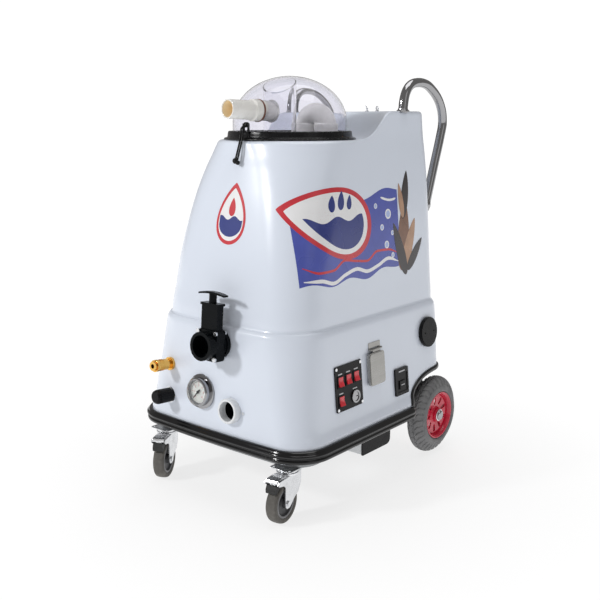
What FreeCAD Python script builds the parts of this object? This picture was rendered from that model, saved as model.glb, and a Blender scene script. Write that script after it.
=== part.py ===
"""Portable carpet extraction cleaner: moulded two-part body on a steel pan,
clear recovery-tank dome, waste gate valve, solution fittings, side electrics,
two braked swivel casters and two pneumatic rear wheels.

Frame: millimetres, +Z up, front of the machine at -Y, switch side at +X.
The origin is on the floor under the middle of the bounding box.
"""
import FreeCAD, Part
import math
import os

V = FreeCAD.Vector
os.makedirs("parts", exist_ok=True)

# ---------------------------------------------------------------- dimensions
SHIFT_Y = 27.5            # design frame -> bounding-box middle
WALL = 6.0                # moulded wall of the two housings
FRONT_TILT = 5.0          # draft of the front wall, degrees
SIDE_TILT = 5.2           # draft of the side walls, degrees

CASTER_D = 100.0          # front caster wheel diameter
CASTER_W = 30.0           # front caster wheel width
CASTER_H = 131.0          # floor to the top of the caster plate
CASTER_X = 213.5          # swivel axis, sideways
CASTER_Y = -341.0         # swivel axis, fore and aft
CASTER_TRAIL = 28.0
CASTER_TURN_R = 8.0       # resting swivel angle of the right caster
CASTER_TURN_L = 28.0      # resting swivel angle of the left caster

WHEEL_D = 220.0           # rear pneumatic tyre
WHEEL_W = 59.0
WHEEL_X = 247.0           # middle plane of the rear wheel
AXLE_Y = 256.0
AXLE_R = 10.0
RIM_R = 63.0

PAN_Z0, PAN_Z1 = 131.0, 150.0
BASE_Z1 = 446.0
SHELF_Z = 960.0
DECK_Z = 888.0
RING_Y = -79.0            # axis of the dome opening
DOME_R = 147.0
DOME_TOP = 1047.0

# outer form of the body: z, half width, front, rear, front corner radius, front bow
BASE_SEC = [
    (150.0, 284.5, -378.0, 285.0, 84.0, 5.0),
    (186.0, 284.5, -378.0, 285.0, 84.0, 5.0),
    (198.0, 281.0, -376.8, 284.5, 83.0, 5.0),
    (210.0, 276.0, -375.6, 284.5, 82.0, 5.0),
    (224.0, 273.0, -375.0, 284.5, 84.0, 5.0),
    (330.0, 263.2, -367.5, 285.0, 104.0, 5.0),
    (428.0, 254.6, -360.6, 286.0, 118.0, 5.0),
    (438.0, 252.5, -358.6, 285.0, 117.0, 5.0),
    (446.0, 247.0, -353.5, 283.0, 113.0, 5.0),
]
TANK_SEC = [
    (446.0, 242.5, -348.6, 281.5, 108.0, 5.0),
    (452.0, 241.2, -347.6, 286.0, 107.5, 5.0),
    (520.0, 236.0, -336.9, 286.6, 107.0, 5.0),
    (600.0, 230.0, -323.4, 287.4, 110.0, 4.5),
    (680.0, 223.5, -306.2, 288.6, 120.0, 4.0),
    (760.0, 216.1, -286.6, 290.0, 136.0, 3.5),
    (820.0, 208.5, -268.5, 291.2, 153.0, 3.0),
    (860.0, 202.5, -256.5, 292.2, 170.0, 2.5),
    (892.0, 197.0, -251.5, 292.8, 184.0, 2.0),
    (960.0, 190.5, -251.0, 293.0, 184.0, 2.0),
]
REAR_R = 60.0

NODES = {}


def add(name, shape):
    NODES[name] = shape


# ---------------------------------------------------------------- helpers
def box(x0, y0, z0, x1, y1, z1):
    return Part.makeBox(x1 - x0, y1 - y0, z1 - z0, V(x0, y0, z0))


def cyl(r, p, d, length):
    return Part.makeCylinder(r, length, V(*p), V(*d))


def tube(ro, ri, p, d, length):
    return cyl(ro, p, d, length).cut(cyl(ri, p, d, length))


def fuse(*shapes):
    out = shapes[0]
    for s in shapes[1:]:
        out = out.fuse(s)
    return out.removeSplitter()


def group(*shapes):
    solids = []
    for s in shapes:
        solids.extend(s.Solids)
    return Part.makeCompound(solids)


def moved(shape, x=0.0, y=0.0, z=0.0):
    s = shape.copy()
    s.translate(V(x, y, z))
    return s


def turned(shape, centre, axis, angle):
    s = shape.copy()
    s.rotate(V(*centre), V(*axis), angle)
    return s


def mirror_x(shape):
    return shape.mirror(V(0, 0, 0), V(1, 0, 0))


def outline(w, f, b, rf, rb, bow, z):
    """Closed plan outline: bowed front, rounded corners."""
    rf = min(rf, w - 6.0)
    xf = w - rf
    s = math.sqrt(0.5)
    yf = f + bow
    e = [
        Part.Arc(V(-xf, yf, z), V(0, f, z), V(xf, yf, z)).toShape(),
        Part.Arc(V(xf, yf, z), V(xf + rf * s, yf + rf * (1 - s), z), V(w, yf + rf, z)).toShape(),
        Part.LineSegment(V(w, yf + rf, z), V(w, b - rb, z)).toShape(),
        Part.Arc(V(w, b - rb, z), V(w - rb + rb * s, b - rb + rb * s, z), V(w - rb, b, z)).toShape(),
        Part.LineSegment(V(w - rb, b, z), V(-(w - rb), b, z)).toShape(),
        Part.Arc(V(-(w - rb), b, z), V(-(w - rb + rb * s), b - rb + rb * s, z), V(-w, b - rb, z)).toShape(),
        Part.LineSegment(V(-w, b - rb, z), V(-w, yf + rf, z)).toShape(),
        Part.Arc(V(-w, yf + rf, z), V(-(xf + rf * s), yf + rf * (1 - s), z), V(-xf, yf, z)).toShape(),
    ]
    return Part.Wire(e)


def section(sec, z, off=0.0):
    """Interpolated outline of the sections at height z, moved inwards by off."""
    zs = [s[0] for s in sec]
    if z <= zs[0]:
        v = sec[0][1:]
    elif z >= zs[-1]:
        v = sec[-1][1:]
    else:
        for a, b in zip(sec, sec[1:]):
            if a[0] <= z <= b[0]:
                t = (z - a[0]) / (b[0] - a[0])
                v = [p + t * (q - p) for p, q in zip(a[1:], b[1:])]
                break
    w, f, b, rf, bow = v
    return w - off, f + off, b - off, max(rf - off, 8.0), max(REAR_R - off, 8.0), bow


def body_loft(sec, off=0.0, z0=None, z1=None):
    zs = sorted(set([s[0] for s in sec]
                    + ([z0] if z0 is not None else []) + ([z1] if z1 is not None else [])))
    lo = zs[0] if z0 is None else z0
    hi = zs[-1] if z1 is None else z1
    wires = []
    for z in zs:
        if lo - 1e-6 <= z <= hi + 1e-6:
            w, f, b, rf, rb, bow = section(sec, z, off)
            wires.append(outline(w, f, b, rf, rb, bow, z))
    return Part.makeLoft(wires, True, True)


def revolve_profile(points, cx, cy, spline_from=None):
    """Solid of revolution about a vertical axis from (r, z) points."""
    pts = [V(r, 0, z) for r, z in points]
    edges = [Part.LineSegment(a, b).toShape() for a, b in zip(pts, pts[1:] + pts[:1])
             if (a - b).Length > 1e-6]
    face = Part.Face(Part.Wire(edges))
    s = face.revolve(V(0, 0, 0), V(0, 0, 1), 360)
    s.translate(V(cx, cy, 0))
    return s


def revolve_x(points, centre):
    """Solid of revolution about the X direction from (x, r) points."""
    pts = [V(x, 0, r) for x, r in points]
    edges = [Part.LineSegment(a, b).toShape() for a, b in zip(pts, pts[1:] + pts[:1])
             if (a - b).Length > 1e-6]
    s = Part.Face(Part.Wire(edges)).revolve(V(0, 0, 0), V(1, 0, 0), 360)
    s.translate(V(*centre))
    return s


def revolve_y(points, centre=(0, 0, 0)):
    """Solid of revolution about the Y direction from (y, r) points."""
    pts = [V(r, y, 0) for y, r in points]
    edges = [Part.LineSegment(a, b).toShape() for a, b in zip(pts, pts[1:] + pts[:1])
             if (a - b).Length > 1e-6]
    s = Part.Face(Part.Wire(edges)).revolve(V(0, 0, 0), V(0, 1, 0), 360)
    s.translate(V(*centre))
    return s


def rounded_plate(u0, v0, u1, v1, r, n0, n1, axis):
    """Plate with rounded corners; axis 'x' gives u=y, v=z; axis 'y' gives u=x, v=z."""
    s = math.sqrt(0.5)

    def p(u, v):
        return V(n0, u, v) if axis == "x" else (V(u, n0, v) if axis == "y" else V(u, v, n0))
    e = [
        Part.LineSegment(p(u0 + r, v0), p(u1 - r, v0)).toShape(),
        Part.Arc(p(u1 - r, v0), p(u1 - r + r * s, v0 + r - r * s), p(u1, v0 + r)).toShape(),
        Part.LineSegment(p(u1, v0 + r), p(u1, v1 - r)).toShape(),
        Part.Arc(p(u1, v1 - r), p(u1 - r + r * s, v1 - r + r * s), p(u1 - r, v1)).toShape(),
        Part.LineSegment(p(u1 - r, v1), p(u0 + r, v1)).toShape(),
        Part.Arc(p(u0 + r, v1), p(u0 + r - r * s, v1 - r + r * s), p(u0, v1 - r)).toShape(),
        Part.LineSegment(p(u0, v1 - r), p(u0, v0 + r)).toShape(),
        Part.Arc(p(u0, v0 + r), p(u0 + r - r * s, v0 + r - r * s), p(u0 + r, v0)).toShape(),
    ]
    d = n1 - n0
    vec = V(d, 0, 0) if axis == "x" else (V(0, d, 0) if axis == "y" else V(0, 0, d))
    return Part.Face(Part.Wire(e)).extrude(vec)


def prism(points, vec):
    pts = [V(*p) for p in points]
    w = Part.makePolygon(pts + [pts[0]])
    return Part.Face(w).extrude(V(*vec))


def bent_path(points, radii):
    """Straight runs joined by tangent arcs through the given corner radii."""
    pts = [V(*p) for p in points]
    edges, start = [], pts[0]
    for i in range(1, len(pts) - 1):
        a, b, c = pts[i - 1], pts[i], pts[i + 1]
        d0, d1 = (a - b).normalize(), (c - b).normalize()
        half = d0.getAngle(d1) / 2.0
        r = radii[i - 1]
        t = r / math.tan(half)
        p0, p1 = b + d0 * t, b + d1 * t
        bis = (d0 + d1).normalize()
        mid = b + bis * (r / math.sin(half) - r)
        if (p0 - start).Length > 1e-6:
            edges.append(Part.LineSegment(start, p0).toShape())
        edges.append(Part.Arc(p0, mid, p1).toShape())
        start = p1
    edges.append(Part.LineSegment(start, pts[-1]).toShape())
    return Part.Wire(edges)


def pipe_along(wire, r, ri=None):
    e0 = wire.Edges[0]
    p = e0.valueAt(e0.FirstParameter)
    d = e0.tangentAt(e0.FirstParameter)
    prof = Part.Wire([Part.Circle(p, d, r).toShape()])
    s = wire.makePipeShell([prof], True, True)
    if ri:
        s = s.cut(wire.makePipeShell([Part.Wire([Part.Circle(p, d, ri).toShape()])], True, True))
    return s


def on_front(shape, x, z):
    """Place a shape built with outward = -Y at the origin on the front wall."""
    w, f, b, rf, rb, bow = section(BASE_SEC, z)
    y = f + bow * min(1.0, abs(x) / (w - rf)) ** 2
    s = turned(shape, (0, 0, 0), (1, 0, 0), -FRONT_TILT)
    s.translate(V(x, y, z))
    return s


def on_side(shape, y, z):
    """Place a shape built with outward = +X at the origin on the right wall."""
    w = section(BASE_SEC, z)[0]
    s = turned(shape, (0, 0, 0), (0, 1, 0), -SIDE_TILT)
    s.translate(V(w, y, z))
    return s


# ---------------------------------------------------------------- body housings
base_outer = body_loft(BASE_SEC)
base_inner = body_loft(BASE_SEC, WALL, None, 440.0)
wi, fi, bi, rfi, rbi, bowi = section(BASE_SEC, 438.0, 32.0)
base_mouth = Part.Face(outline(wi, fi, bi, rfi, rbi, bowi, 430.0)).extrude(V(0, 0, 30))
base = base_outer.cut(base_inner).cut(base_mouth)

# wheel arches: one curve seen from the side, extruded sideways
ARCH = [(98.5, 96.0), (98.5, 150.0), (99.5, 185.0), (111.0, 211.0), (141.0, 233.0),
        (187.0, 246.5), (240.0, 251.0), (330.0, 252.0)]


def arch_solid(off, x0, x1, ymax=340.0, zmin=96.0):
    pts = [(y, z) for y, z in ARCH]
    if off:
        new = []
        for i, (y, z) in enumerate(pts):
            a = pts[max(i - 1, 0)]
            b = pts[min(i + 1, len(pts) - 1)]
            ty, tz = b[0] - a[0], b[1] - a[1]
            n = math.hypot(ty, tz)
            new.append((y - off * tz / n, z + off * ty / n))
        pts = new
    pts[0] = (pts[1][0], zmin)
    pts[-1] = (ymax, pts[-1][1])
    curve = Part.BSplineCurve()
    curve.interpolate([V(x0, y, z) for y, z in pts[1:-1]])
    e = [Part.LineSegment(V(x0, *pts[0]), V(x0, *pts[1])).toShape(), curve.toShape(),
         Part.LineSegment(V(x0, *pts[-2]), V(x0, *pts[-1])).toShape(),
         Part.LineSegment(V(x0, *pts[-1]), V(x0, ymax, zmin)).toShape(),
         Part.LineSegment(V(x0, ymax, zmin), V(x0, *pts[0])).toShape()]
    return Part.Face(Part.Wire(e)).extrude(V(x1 - x0, 0, 0))


WELL_X = 199.0
arch_cut = arch_solid(0.0, WELL_X - 4.2, 330.0)
base = base.cut(arch_cut).cut(mirror_x(arch_cut))

liner = arch_solid(4.0, WELL_X - 4.0, 300.0).cut(arch_solid(0.0, WELL_X, 330.0))
liner = liner.common(body_loft(BASE_SEC, WALL + 0.2, None, 439.0))
liner = liner.common(box(0, 60, 150.3, 320, 320, 300))

band = arch_solid(11.0, 240.0, 320.0).cut(arch_solid(0.3, 235.0, 330.0))
skin_out = body_loft([(z, w + 5.0, f - 5, b + 5.0, rf + 5, bow) for z, w, f, b, rf, bow in BASE_SEC])
skin_in = body_loft([(z, w + 0.15, f - 0.15, b + 0.15, rf, bow) for z, w, f, b, rf, bow in BASE_SEC])
trim = band.common(skin_out).cut(skin_in).common(box(200, 60, 180.6, 340, 320, 300))

tank_outer = body_loft(TANK_SEC)
tank_inner = body_loft(TANK_SEC, WALL, 452.0, SHELF_Z - WALL)


def scoop(dr, dz):
    """Clearance over the deck and the curved rise behind the dome."""
    c = Part.BSplineCurve()
    c.buildFromPoles([V(189 + dr, 0, DECK_Z + dz), V(219 + dr, 0, DECK_Z + dz),
                      V(234 + dr, 0, SHELF_Z + dz), V(264 + dr, 0, SHELF_Z + dz)])
    e = [Part.LineSegment(V(0, 0, DECK_Z + dz), V(189 + dr, 0, DECK_Z + dz)).toShape(),
         c.toShape(),
         Part.LineSegment(V(264 + dr, 0, SHELF_Z + dz), V(264 + dr, 0, 1120)).toShape(),
         Part.LineSegment(V(264 + dr, 0, 1120), V(0, 0, 1120)).toShape(),
         Part.LineSegment(V(0, 0, 1120), V(0, 0, DECK_Z + dz)).toShape()]
    s = Part.Face(Part.Wire(e)).revolve(V(0, 0, 0), V(0, 0, 1), 360)
    s.translate(V(0, RING_Y, 0))
    return s


tank_outer = tank_outer.cut(scoop(0, 0))
tank_inner = tank_inner.cut(scoop(4.0, -WALL))
tank = tank_outer.cut(tank_inner).cut(cyl(139.0, (0, RING_Y, 860), (0, 0, 1), 60))

# ---------------------------------------------------------------- steel pan and bumper
pan_sec = (150.0, 262.0, -356.0, 268.0, 64.0, 5.0)
pan_o = Part.Face(outline(262.0, -356.0, 268.0, 64.0, 40.0, 5.0, PAN_Z0)).extrude(V(0, 0, PAN_Z1 - PAN_Z0))
pan_i = Part.Face(outline(258.0, -352.0, 264.0, 60.0, 36.0, 5.0, PAN_Z0 + 4)).extrude(V(0, 0, 30))
notch = box(WELL_X - 4.2, 94.0, 100, 330, 330, 200)
rim_r = box(WELL_X - 8.2, 90.0, PAN_Z0, 262, 94.0, PAN_Z1).fuse(
    box(WELL_X - 8.2, 90.0, PAN_Z0, WELL_X - 4.2, 268.0, PAN_Z1))
pan = pan_o.cut(pan_i).cut(notch).cut(mirror_x(notch))
pan = pan.fuse(rim_r.common(pan_o)).fuse(mirror_x(rim_r).common(pan_o)).removeSplitter()
lip = Part.Face(outline(283.0, -376.5, 283.5, 82.0, 58.0, 5.0, 146.0)).extrude(V(0, 0, PAN_Z1 - 146.0))
lip = lip.cut(Part.Face(outline(259.0, -353.0, 265.0, 61.0, 37.0, 5.0, 140.0)).extrude(V(0, 0, 20)))
lip = lip.cut(notch).cut(mirror_x(notch))
pan = pan.fuse(lip).removeSplitter()


def bumper_ring(z0, z1, out):
    o = Part.Face(outline(284.8 + out, -378.3 - 0.8 * out, 400.0, 84.5 + out, 40.0, 5.0, z0)).extrude(V(0, 0, z1 - z0))
    i = Part.Face(outline(284.8, -378.3, 420.0, 84.3, 40.0, 5.0, z0 - 1)).extrude(V(0, 0, z1 - z0 + 2))
    return o.cut(i)


bumper = fuse(bumper_ring(150.0, 161.0, 13.0), bumper_ring(161.0, 166.0, 10.5),
              bumper_ring(166.0, 173.0, 15.0), bumper_ring(173.0, 180.0, 11.5))
bumper = bumper.cut(box(-400, 99.0, 100, 400, 500, 220))

# ---------------------------------------------------------------- dome lid
ring = revolve_profile([(147.3, 888.3), (170.0, 888.3), (170.0, 892.5), (160.5, 895.5), (158.5, 909.5),
                        (147.3, 909.5)], 0, RING_Y)


def dome_profile(r, z_base, z_skirt, h, ribs=28):
    pts = [(0.0, z_base), (r, z_base), (r, z_skirt)]
    for i in range(1, ribs):
        a = 0.5 * math.pi * i / ribs
        pts.append((r * math.cos(a), z_skirt + h * math.sin(a)))
    pts.append((0.0, z_skirt + h))
    return pts


dome_o = revolve_profile(dome_profile(DOME_R, 890.0, 930.0, DOME_TOP - 930.0), 0, RING_Y)
dome_i = revolve_profile(dome_profile(DOME_R - 4.0, 880.0, 930.0, DOME_TOP - 934.0), 0, RING_Y)
dome = dome_o.cut(dome_i)

# inlet: straight cuff through the dome wall into a clear splash tube
INLET_YAW = 6.0
INLET_TILT = 2.0
INLET_P = (18.0, -221.0, 960.0)       # where the inlet axis meets the dome wall


def on_inlet(shape):
    s = turned(shape, (0, 0, 0), (1, 0, 0), -INLET_TILT)
    s = turned(s, (0, 0, 0), (0, 0, 1), -INLET_YAW)
    s.translate(V(*INLET_P))
    return s


cuff = revolve_y([(-96.0, 19.5), (-96.0, 23.0), (-32.0, 23.0), (-22.0, 24.2), (-20.0, 26.6), (-1.0, 26.6),
                  (-1.0, 24.2), (2.0, 24.2), (2.0, 19.5)])
cuff = on_inlet(cuff)
coupling = revolve_y([(2.3, 19.5), (2.3, 24.2), (44.0, 24.2), (44.0, 27.4), (48.0, 27.4), (48.0, 19.5)])
coupling = on_inlet(coupling)
dome = dome.cut(on_inlet(cyl(24.4, (0, -40, 0), (0, 1, 0), 60)))
cuff = cuff.cut(dome_o.cut(on_inlet(cyl(24.4, (0, -60, 0), (0, 1, 0), 100))))

DIFF_X, DIFF_Y, DIFF_R = 24.0, -146.0, 41.0
diffuser = tube(DIFF_R, DIFF_R - 3.0, (DIFF_X, DIFF_Y, 905.0), (0, 0, 1), 113.0)
diffuser = diffuser.common(dome_i)
diffuser = diffuser.cut(on_inlet(cyl(27.8, (0, -20, 0), (0, 1, 0), 75)))

# rubber tie hanging from a lug on the ring
TIE_X = -4.0
TIE_PIVOT = (TIE_X, -241.5, 926.0)
lug = fuse(box(TIE_X - 9, -243.5, 909.0, TIE_X - 6, -233.5, 932.0),
           box(TIE_X + 6, -243.5, 909.0, TIE_X + 9, -233.5, 932.0),
           box(TIE_X - 9, -240.0, 902.0, TIE_X + 9, -233.5, 909.6))
lug = lug.cut(cyl(2.06, (TIE_X - 20, TIE_PIVOT[1] + 3.0, TIE_PIVOT[2]), (1, 0, 0), 40))
ring = ring.fuse(lug).removeSplitter()
tie_wire = bent_path([(0, 3.0, 0), (0, -12.0, -8.0), (0, -17.5, -40.0), (0, -34.0, -84.0)], [9.0, 18.0])
strand = pipe_along(tie_wire, 1.9)
tie = fuse(cyl(5.4, (-5.2, 3.0, 0), (1, 0, 0), 10.4),
           cyl(2.0, (-8.6, 3.0, 0), (1, 0, 0), 17.2),
           moved(strand, -3.4), moved(strand, 3.4),
           Part.makeSphere(7.2, V(-2.0, -35.0, -86.0)),
           Part.makeSphere(5.6, V(4.5, -34.0, -90.0)))
tie = moved(tie, TIE_X, -241.5, 926.0)

# ---------------------------------------------------------------- standpipe inside the tank
BEND_R, PIPE_R = 33.0, 28.0
LEG_X, LEG_Y = 62.0, -8.0
LEG_TOP = 982.0 - BEND_R - PIPE_R
half = Part.Wire([
    Part.LineSegment(V(LEG_X, LEG_Y, 430.0), V(LEG_X, LEG_Y, LEG_TOP)).toShape(),
    Part.Arc(V(LEG_X, LEG_Y, LEG_TOP), V(LEG_X - BEND_R, LEG_Y + 2, LEG_TOP + BEND_R - 0.06),
             V(LEG_X - 2 * BEND_R, LEG_Y + 4, LEG_TOP)).toShape(),
    Part.LineSegment(V(LEG_X - 2 * BEND_R, LEG_Y + 4, LEG_TOP), V(LEG_X - 2 * BEND_R, LEG_Y + 4, 902.0)).toShape()])
leg1 = tube(PIPE_R, 25.0, (LEG_X, LEG_Y, 430.0), (0, 0, 1), LEG_TOP - 430.0)
leg2 = tube(PIPE_R, 25.0, (LEG_X - 2 * BEND_R, LEG_Y, 902.0), (0, 0, 1), LEG_TOP - 902.0)
torus_o = Part.makeTorus(BEND_R, PIPE_R, V(LEG_X - BEND_R, LEG_Y, LEG_TOP), V(0, 1, 0))
torus_i = Part.makeTorus(BEND_R, 25.0, V(LEG_X - BEND_R, LEG_Y, LEG_TOP), V(0, 1, 0))
keep = box(LEG_X - 100, LEG_Y - 40, LEG_TOP, LEG_X + 40, LEG_Y + 40, LEG_TOP + 80)
bend = torus_o.cut(torus_i).common(keep)
collar1 = tube(31.5, 27.9, (LEG_X, LEG_Y, 908.0), (0, 0, 1), 20.0)
collar2 = tube(31.5, 27.9, (LEG_X - 2 * BEND_R, LEG_Y, 902.0), (0, 0, 1), 26.0)
collar1 = collar1.cut(box(LEG_X - 66, -60, 900, LEG_X - 31.6, 60, 940))
collar2 = collar2.cut(box(LEG_X - 34.4, -60, 900, LEG_X + 40, 60, 940))
standpipe = fuse(leg1, leg2, bend, collar1, collar2)
tank = tank.cut(cyl(PIPE_R + 0.4, (LEG_X, LEG_Y, 430), (0, 0, 1), 40))

# ---------------------------------------------------------------- handles
HX = 188.0
hp = [(HX, 160.0, SHELF_Z), (HX, 170.0, 1033.8), (HX, 294.6, 1030.5), (HX, 378.1, 957.8), (HX, 283.7, 690.0)]
HANDLE_BENDS = [53.0, 67.0, 74.5]
hpath = bent_path(hp, HANDLE_BENDS)
handle = pipe_along(hpath, 12.5).cut(tank_outer)
handle = handle.common(box(100, 0, 500, 300, 500, SHELF_Z + 200))
hs = sorted(handle.Solids, key=lambda s: -s.Volume)[0]
flange_top = tube(24.0, 12.8, (HX, 161.0, SHELF_Z), (0, 0, 1), 3.5)
flange_top = flange_top.cut(pipe_along(bent_path(hp, HANDLE_BENDS), 12.7))
fl_dir = (0.22, 1.0, 0.0)
flange_bot = cyl(24.0, (HX - 2.0, 277.0, 703.0), fl_dir, 12.0).cut(tank_outer)
flange_bot = flange_bot.cut(body_loft([(z, w, f, b + 4.5, rf, bow) for z, w, f, b, rf, bow in TANK_SEC]).common(
    box(-300, 295.5, 600, 300, 320, 800)))
flange_bot = flange_bot.cut(pipe_along(bent_path(hp, HANDLE_BENDS), 12.7))
flange_bot = sorted(flange_bot.Solids, key=lambda s: -s.Volume)[0]

# ---------------------------------------------------------------- exhaust box and hooks
exhaust = box(130.0, -72.0, 80.0, 236.0, 57.0, PAN_Z0)
exhaust = exhaust.cut(box(134.0, -68.0, 84.0, 232.0, 53.0, 140.0))
vent_slots = box(134.0, -80.0, 92.0, 228.0, -60.0, 96.0).fuse(box(134.0, -80.0, 104.0, 228.0, -60.0, 108.0))
exhaust = exhaust.cut(vent_slots)
exhaust_plate = rounded_plate(-72.0, 78.0, 57.0, PAN_Z0, 6.0, 236.0, 239.4, "x")
hook_a = fuse(cyl(5.0, (52.0, 189.0, SHELF_Z + 0.1), (0, 0, 1), 2.0), cyl(2.2, (52.0, 189.0, SHELF_Z + 1.0), (0, 0, 1), 6.0),
              Part.makeSphere(3.0, V(52.0, 189.0, SHELF_Z + 8.0)),
              turned(cyl(1.9, (52.0, 189.0, SHELF_Z + 8.0), (0, 0, 1), 9.0), (52, 189, SHELF_Z + 8), (0, 1, 0), -38))
eye = Part.makeTorus(5.0, 1.8, V(86.0, 189.0, SHELF_Z + 8.0), V(0.4, 1, 0))
hook_b = fuse(cyl(5.0, (86.0, 189.0, SHELF_Z + 0.1), (0, 0, 1), 2.6), eye)

# ---------------------------------------------------------------- inner equipment
sol = box(-222.0, -306.0, 135.0, 222.0, -92.0, 392.0).cut(box(-218.0, -302.0, 140.0, 218.0, -96.0, 388.0))
sol = sol.cut(cyl(20.0, (150.0, -130.0, 380.0), (0, 0, 1), 30.0))


def vac_motor(x, y):
    m = fuse(cyl(72.0, (x, y, 135.0), (0, 0, 1), 71.0), cyl(54.0, (x, y, 206.0), (0, 0, 1), 62.0),
             cyl(30.0, (x, y, 268.0), (0, 0, 1), 16.0))
    return m.cut(cyl(68.0, (x, y, 140.0), (0, 0, 1), 60.0)).cut(cyl(24.0, (x, y, 130.0), (0, 0, 1), 20.0))


motors = group(vac_motor(-104.0, 50.0), vac_motor(62.0, 50.0))
pump = fuse(box(146.0, -74.0, 135.0, 214.0, -10.0, 206.0), cyl(27.0, (180.0, -10.0, 172.0), (0, 1, 0), 92.0),
            box(150.0, -10.0, 135.0, 210.0, 60.0, 150.0))

# ---------------------------------------------------------------- gate valve
GX, GZ = 16.5, 403.5


def valve_plate(y0, y1):
    pts = [(-35.5, -26), (-35.5, 30), (-29, 38), (29, 38), (33, 33), (33, -30), (29, -37), (-28, -37)]
    return prism([(x, y0, z) for x, z in pts], (0, y1 - y0, 0))


v_rear = fuse(cyl(35.0, (0, -18.0, 0), (0, 1, 0), 32.0), cyl(38.0, (0, -13.0, 0), (0, 1, 0), 8.0),
              valve_plate(-32.0, -18.0), box(-26.6, -31.9, 36.0, 26.6, -22.0, 98.0),
              box(-29.8, -31.9, 97.0, 29.8, -20.0, 103.0))
v_front = fuse(cyl(35.2, (0, -68.0, 0), (0, 1, 0), 24.0), valve_plate(-46.0, -32.1),
               box(-26.6, -42.0, 36.0, 26.6, -32.1, 98.0), box(-29.8, -44.0, 97.0, 29.8, -32.1, 103.0))
slot = box(-25.0, -34.6, -30.0, 25.0, -29.4, 94.0)
stem_hole = cyl(7.7, (0, -32.0, 90.0), (0, 0, 1), 40.0)
v_rear = v_rear.cut(cyl(23.0, (0, -60, 0), (0, 1, 0), 120.0)).cut(slot).cut(stem_hole)
v_front = v_front.cut(cyl(27.0, (0, -80.0, 0), (0, 1, 0), 40.0)).cut(cyl(23.0, (0, -42.0, 0), (0, 1, 0), 14.0)).cut(slot).cut(stem_hole)
bolt_pos = [(-30.0, 32.5), (28.8, 32.0), (28.5, -30.5), (-28.5, -31.0)]
bolts = []
for bx, bz in bolt_pos:
    hole = cyl(3.1, (bx, -60.0, bz), (0, 1, 0), 60.0)
    v_rear = v_rear.cut(hole)
    v_front = v_front.cut(hole)
    b = fuse(cyl(3.0, (bx, -46.0, bz), (0, 1, 0), 30.0), cyl(5.6, (bx, -50.0, bz), (0, 1, 0), 4.0),
             cyl(5.2, (bx, -18.0, bz), (0, 1, 0), 3.6))
    bolts.append(b)
v_front = v_front.cut(fuse(*[cyl(6.0, (bx, -72.0, bz), (0, 1, 0), 26.0) for bx, bz in bolt_pos]))
v_rear = v_rear.cut(fuse(*[cyl(5.6, (bx, -18.0, bz), (0, 1, 0), 5.0) for bx, bz in bolt_pos]))
blade = fuse(box(-24.6, -33.7, -28.0, 24.6, -30.3, 33.0), cyl(7.6, (0, -32.0, 20.0), (0, 0, 1), 112.0).common(
    box(-7.6, -34.2, 18.0, 7.6, -29.8, 100.0)).fuse(cyl(7.6, (0, -32.0, 99.9), (0, 0, 1), 22.0)))
arc_o = Part.Arc(V(-42.5, -32, 125), V(0, -32, 130.5), V(42.5, -32, 125)).toShape()
arc_i = Part.Arc(V(-42.5, -32, 121), V(0, -32, 125), V(42.5, -32, 121)).toShape()
tw = Part.Wire([arc_o, Part.LineSegment(V(42.5, -32, 125), V(42.5, -32, 121)).toShape(), arc_i,
                Part.LineSegment(V(-42.5, -32, 121), V(-42.5, -32, 125)).toShape()])
t_bar = Part.Face(tw).extrude(V(0, 16, 0))
t_bar.translate(V(0, -8, 0))
t_handle = t_bar.fuse(cyl(9.4, (0, -32.0, 103.7), (0, 0, 1), 23.0)).removeSplitter()
t_handle = t_handle.cut(cyl(7.6, (0, -32.0, 90.0), (0, 0, 1), 31.95))
T = {}
for nm, sh in (("gate_valve_rear", v_rear), ("gate_valve_front", v_front), ("gate_valve_bolts", group(*bolts)),
               ("gate_blade", blade), ("gate_handle", t_handle)):
    T[nm] = on_front(sh, GX, GZ)
base = base.cut(on_front(cyl(35.2, (0, -20, 0), (0, 1, 0), 60.0), GX, GZ))
T["gate_valve_rear"] = T["gate_valve_rear"].cut(base_outer.common(base)).cut(base)

# ---------------------------------------------------------------- front fittings
CX, CZ = -165.0, 320.0
c_body = revolve_y([(-24.0, 6.0), (-24.0, 10.5), (-9.0, 10.5), (-9.0, 13.2), (-7.0, 13.2), (-7.0, 17.0), (0.0, 17.0),
                    (0.0, 9.5), (22.0, 9.5), (22.0, 14.0), (28.0, 14.0), (28.0, 6.0)])
c_nose = revolve_y([(-62.0, 6.0), (-62.0, 12.0), (-59.0, 12.0), (-59.0, 10.5), (-24.0, 10.5), (-24.0, 6.0)])
c_body = c_body.fuse(c_nose).removeSplitter()
c_collar = revolve_y([(-56.0, 10.56), (-56.0, 15.6), (-47.0, 15.6), (-46.0, 14.2), (-16.5, 14.2), (-16.5, 10.56)])
R_X, R_Z = -163.0, 238.0
r_body = revolve_y([(-2.3, 4.0), (-2.3, 20.5), (0.0, 20.5), (0.0, 9.5), (26.0, 9.5),
                    (26.0, 16.0), (36.0, 16.0), (36.0, 4.0)])
r_stem = cyl(5.0, (0, -29.0, 0), (0, 1, 0), 53.0)
r_body = r_body.fuse(r_stem).removeSplitter()
knob = revolve_y([(-53.0, 0.0), (-53.0, 13.0), (-50.0, 16.8), (-44.0, 18.0), (-4.0, 18.4), (-2.6, 17.6), (-2.6, 5.06),
                  (-29.6, 5.06), (-29.6, 0.0)])
grooves = []
for i in range(14):
    a = 2 * math.pi * i / 14
    grooves.append(cyl(1.6, (19.0 * math.cos(a), -46.0, 19.0 * math.sin(a)), (0, 1, 0), 38.0))
knob = knob.cut(Part.makeCompound(grooves))
AX, AZ = -42.0, 272.0
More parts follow.
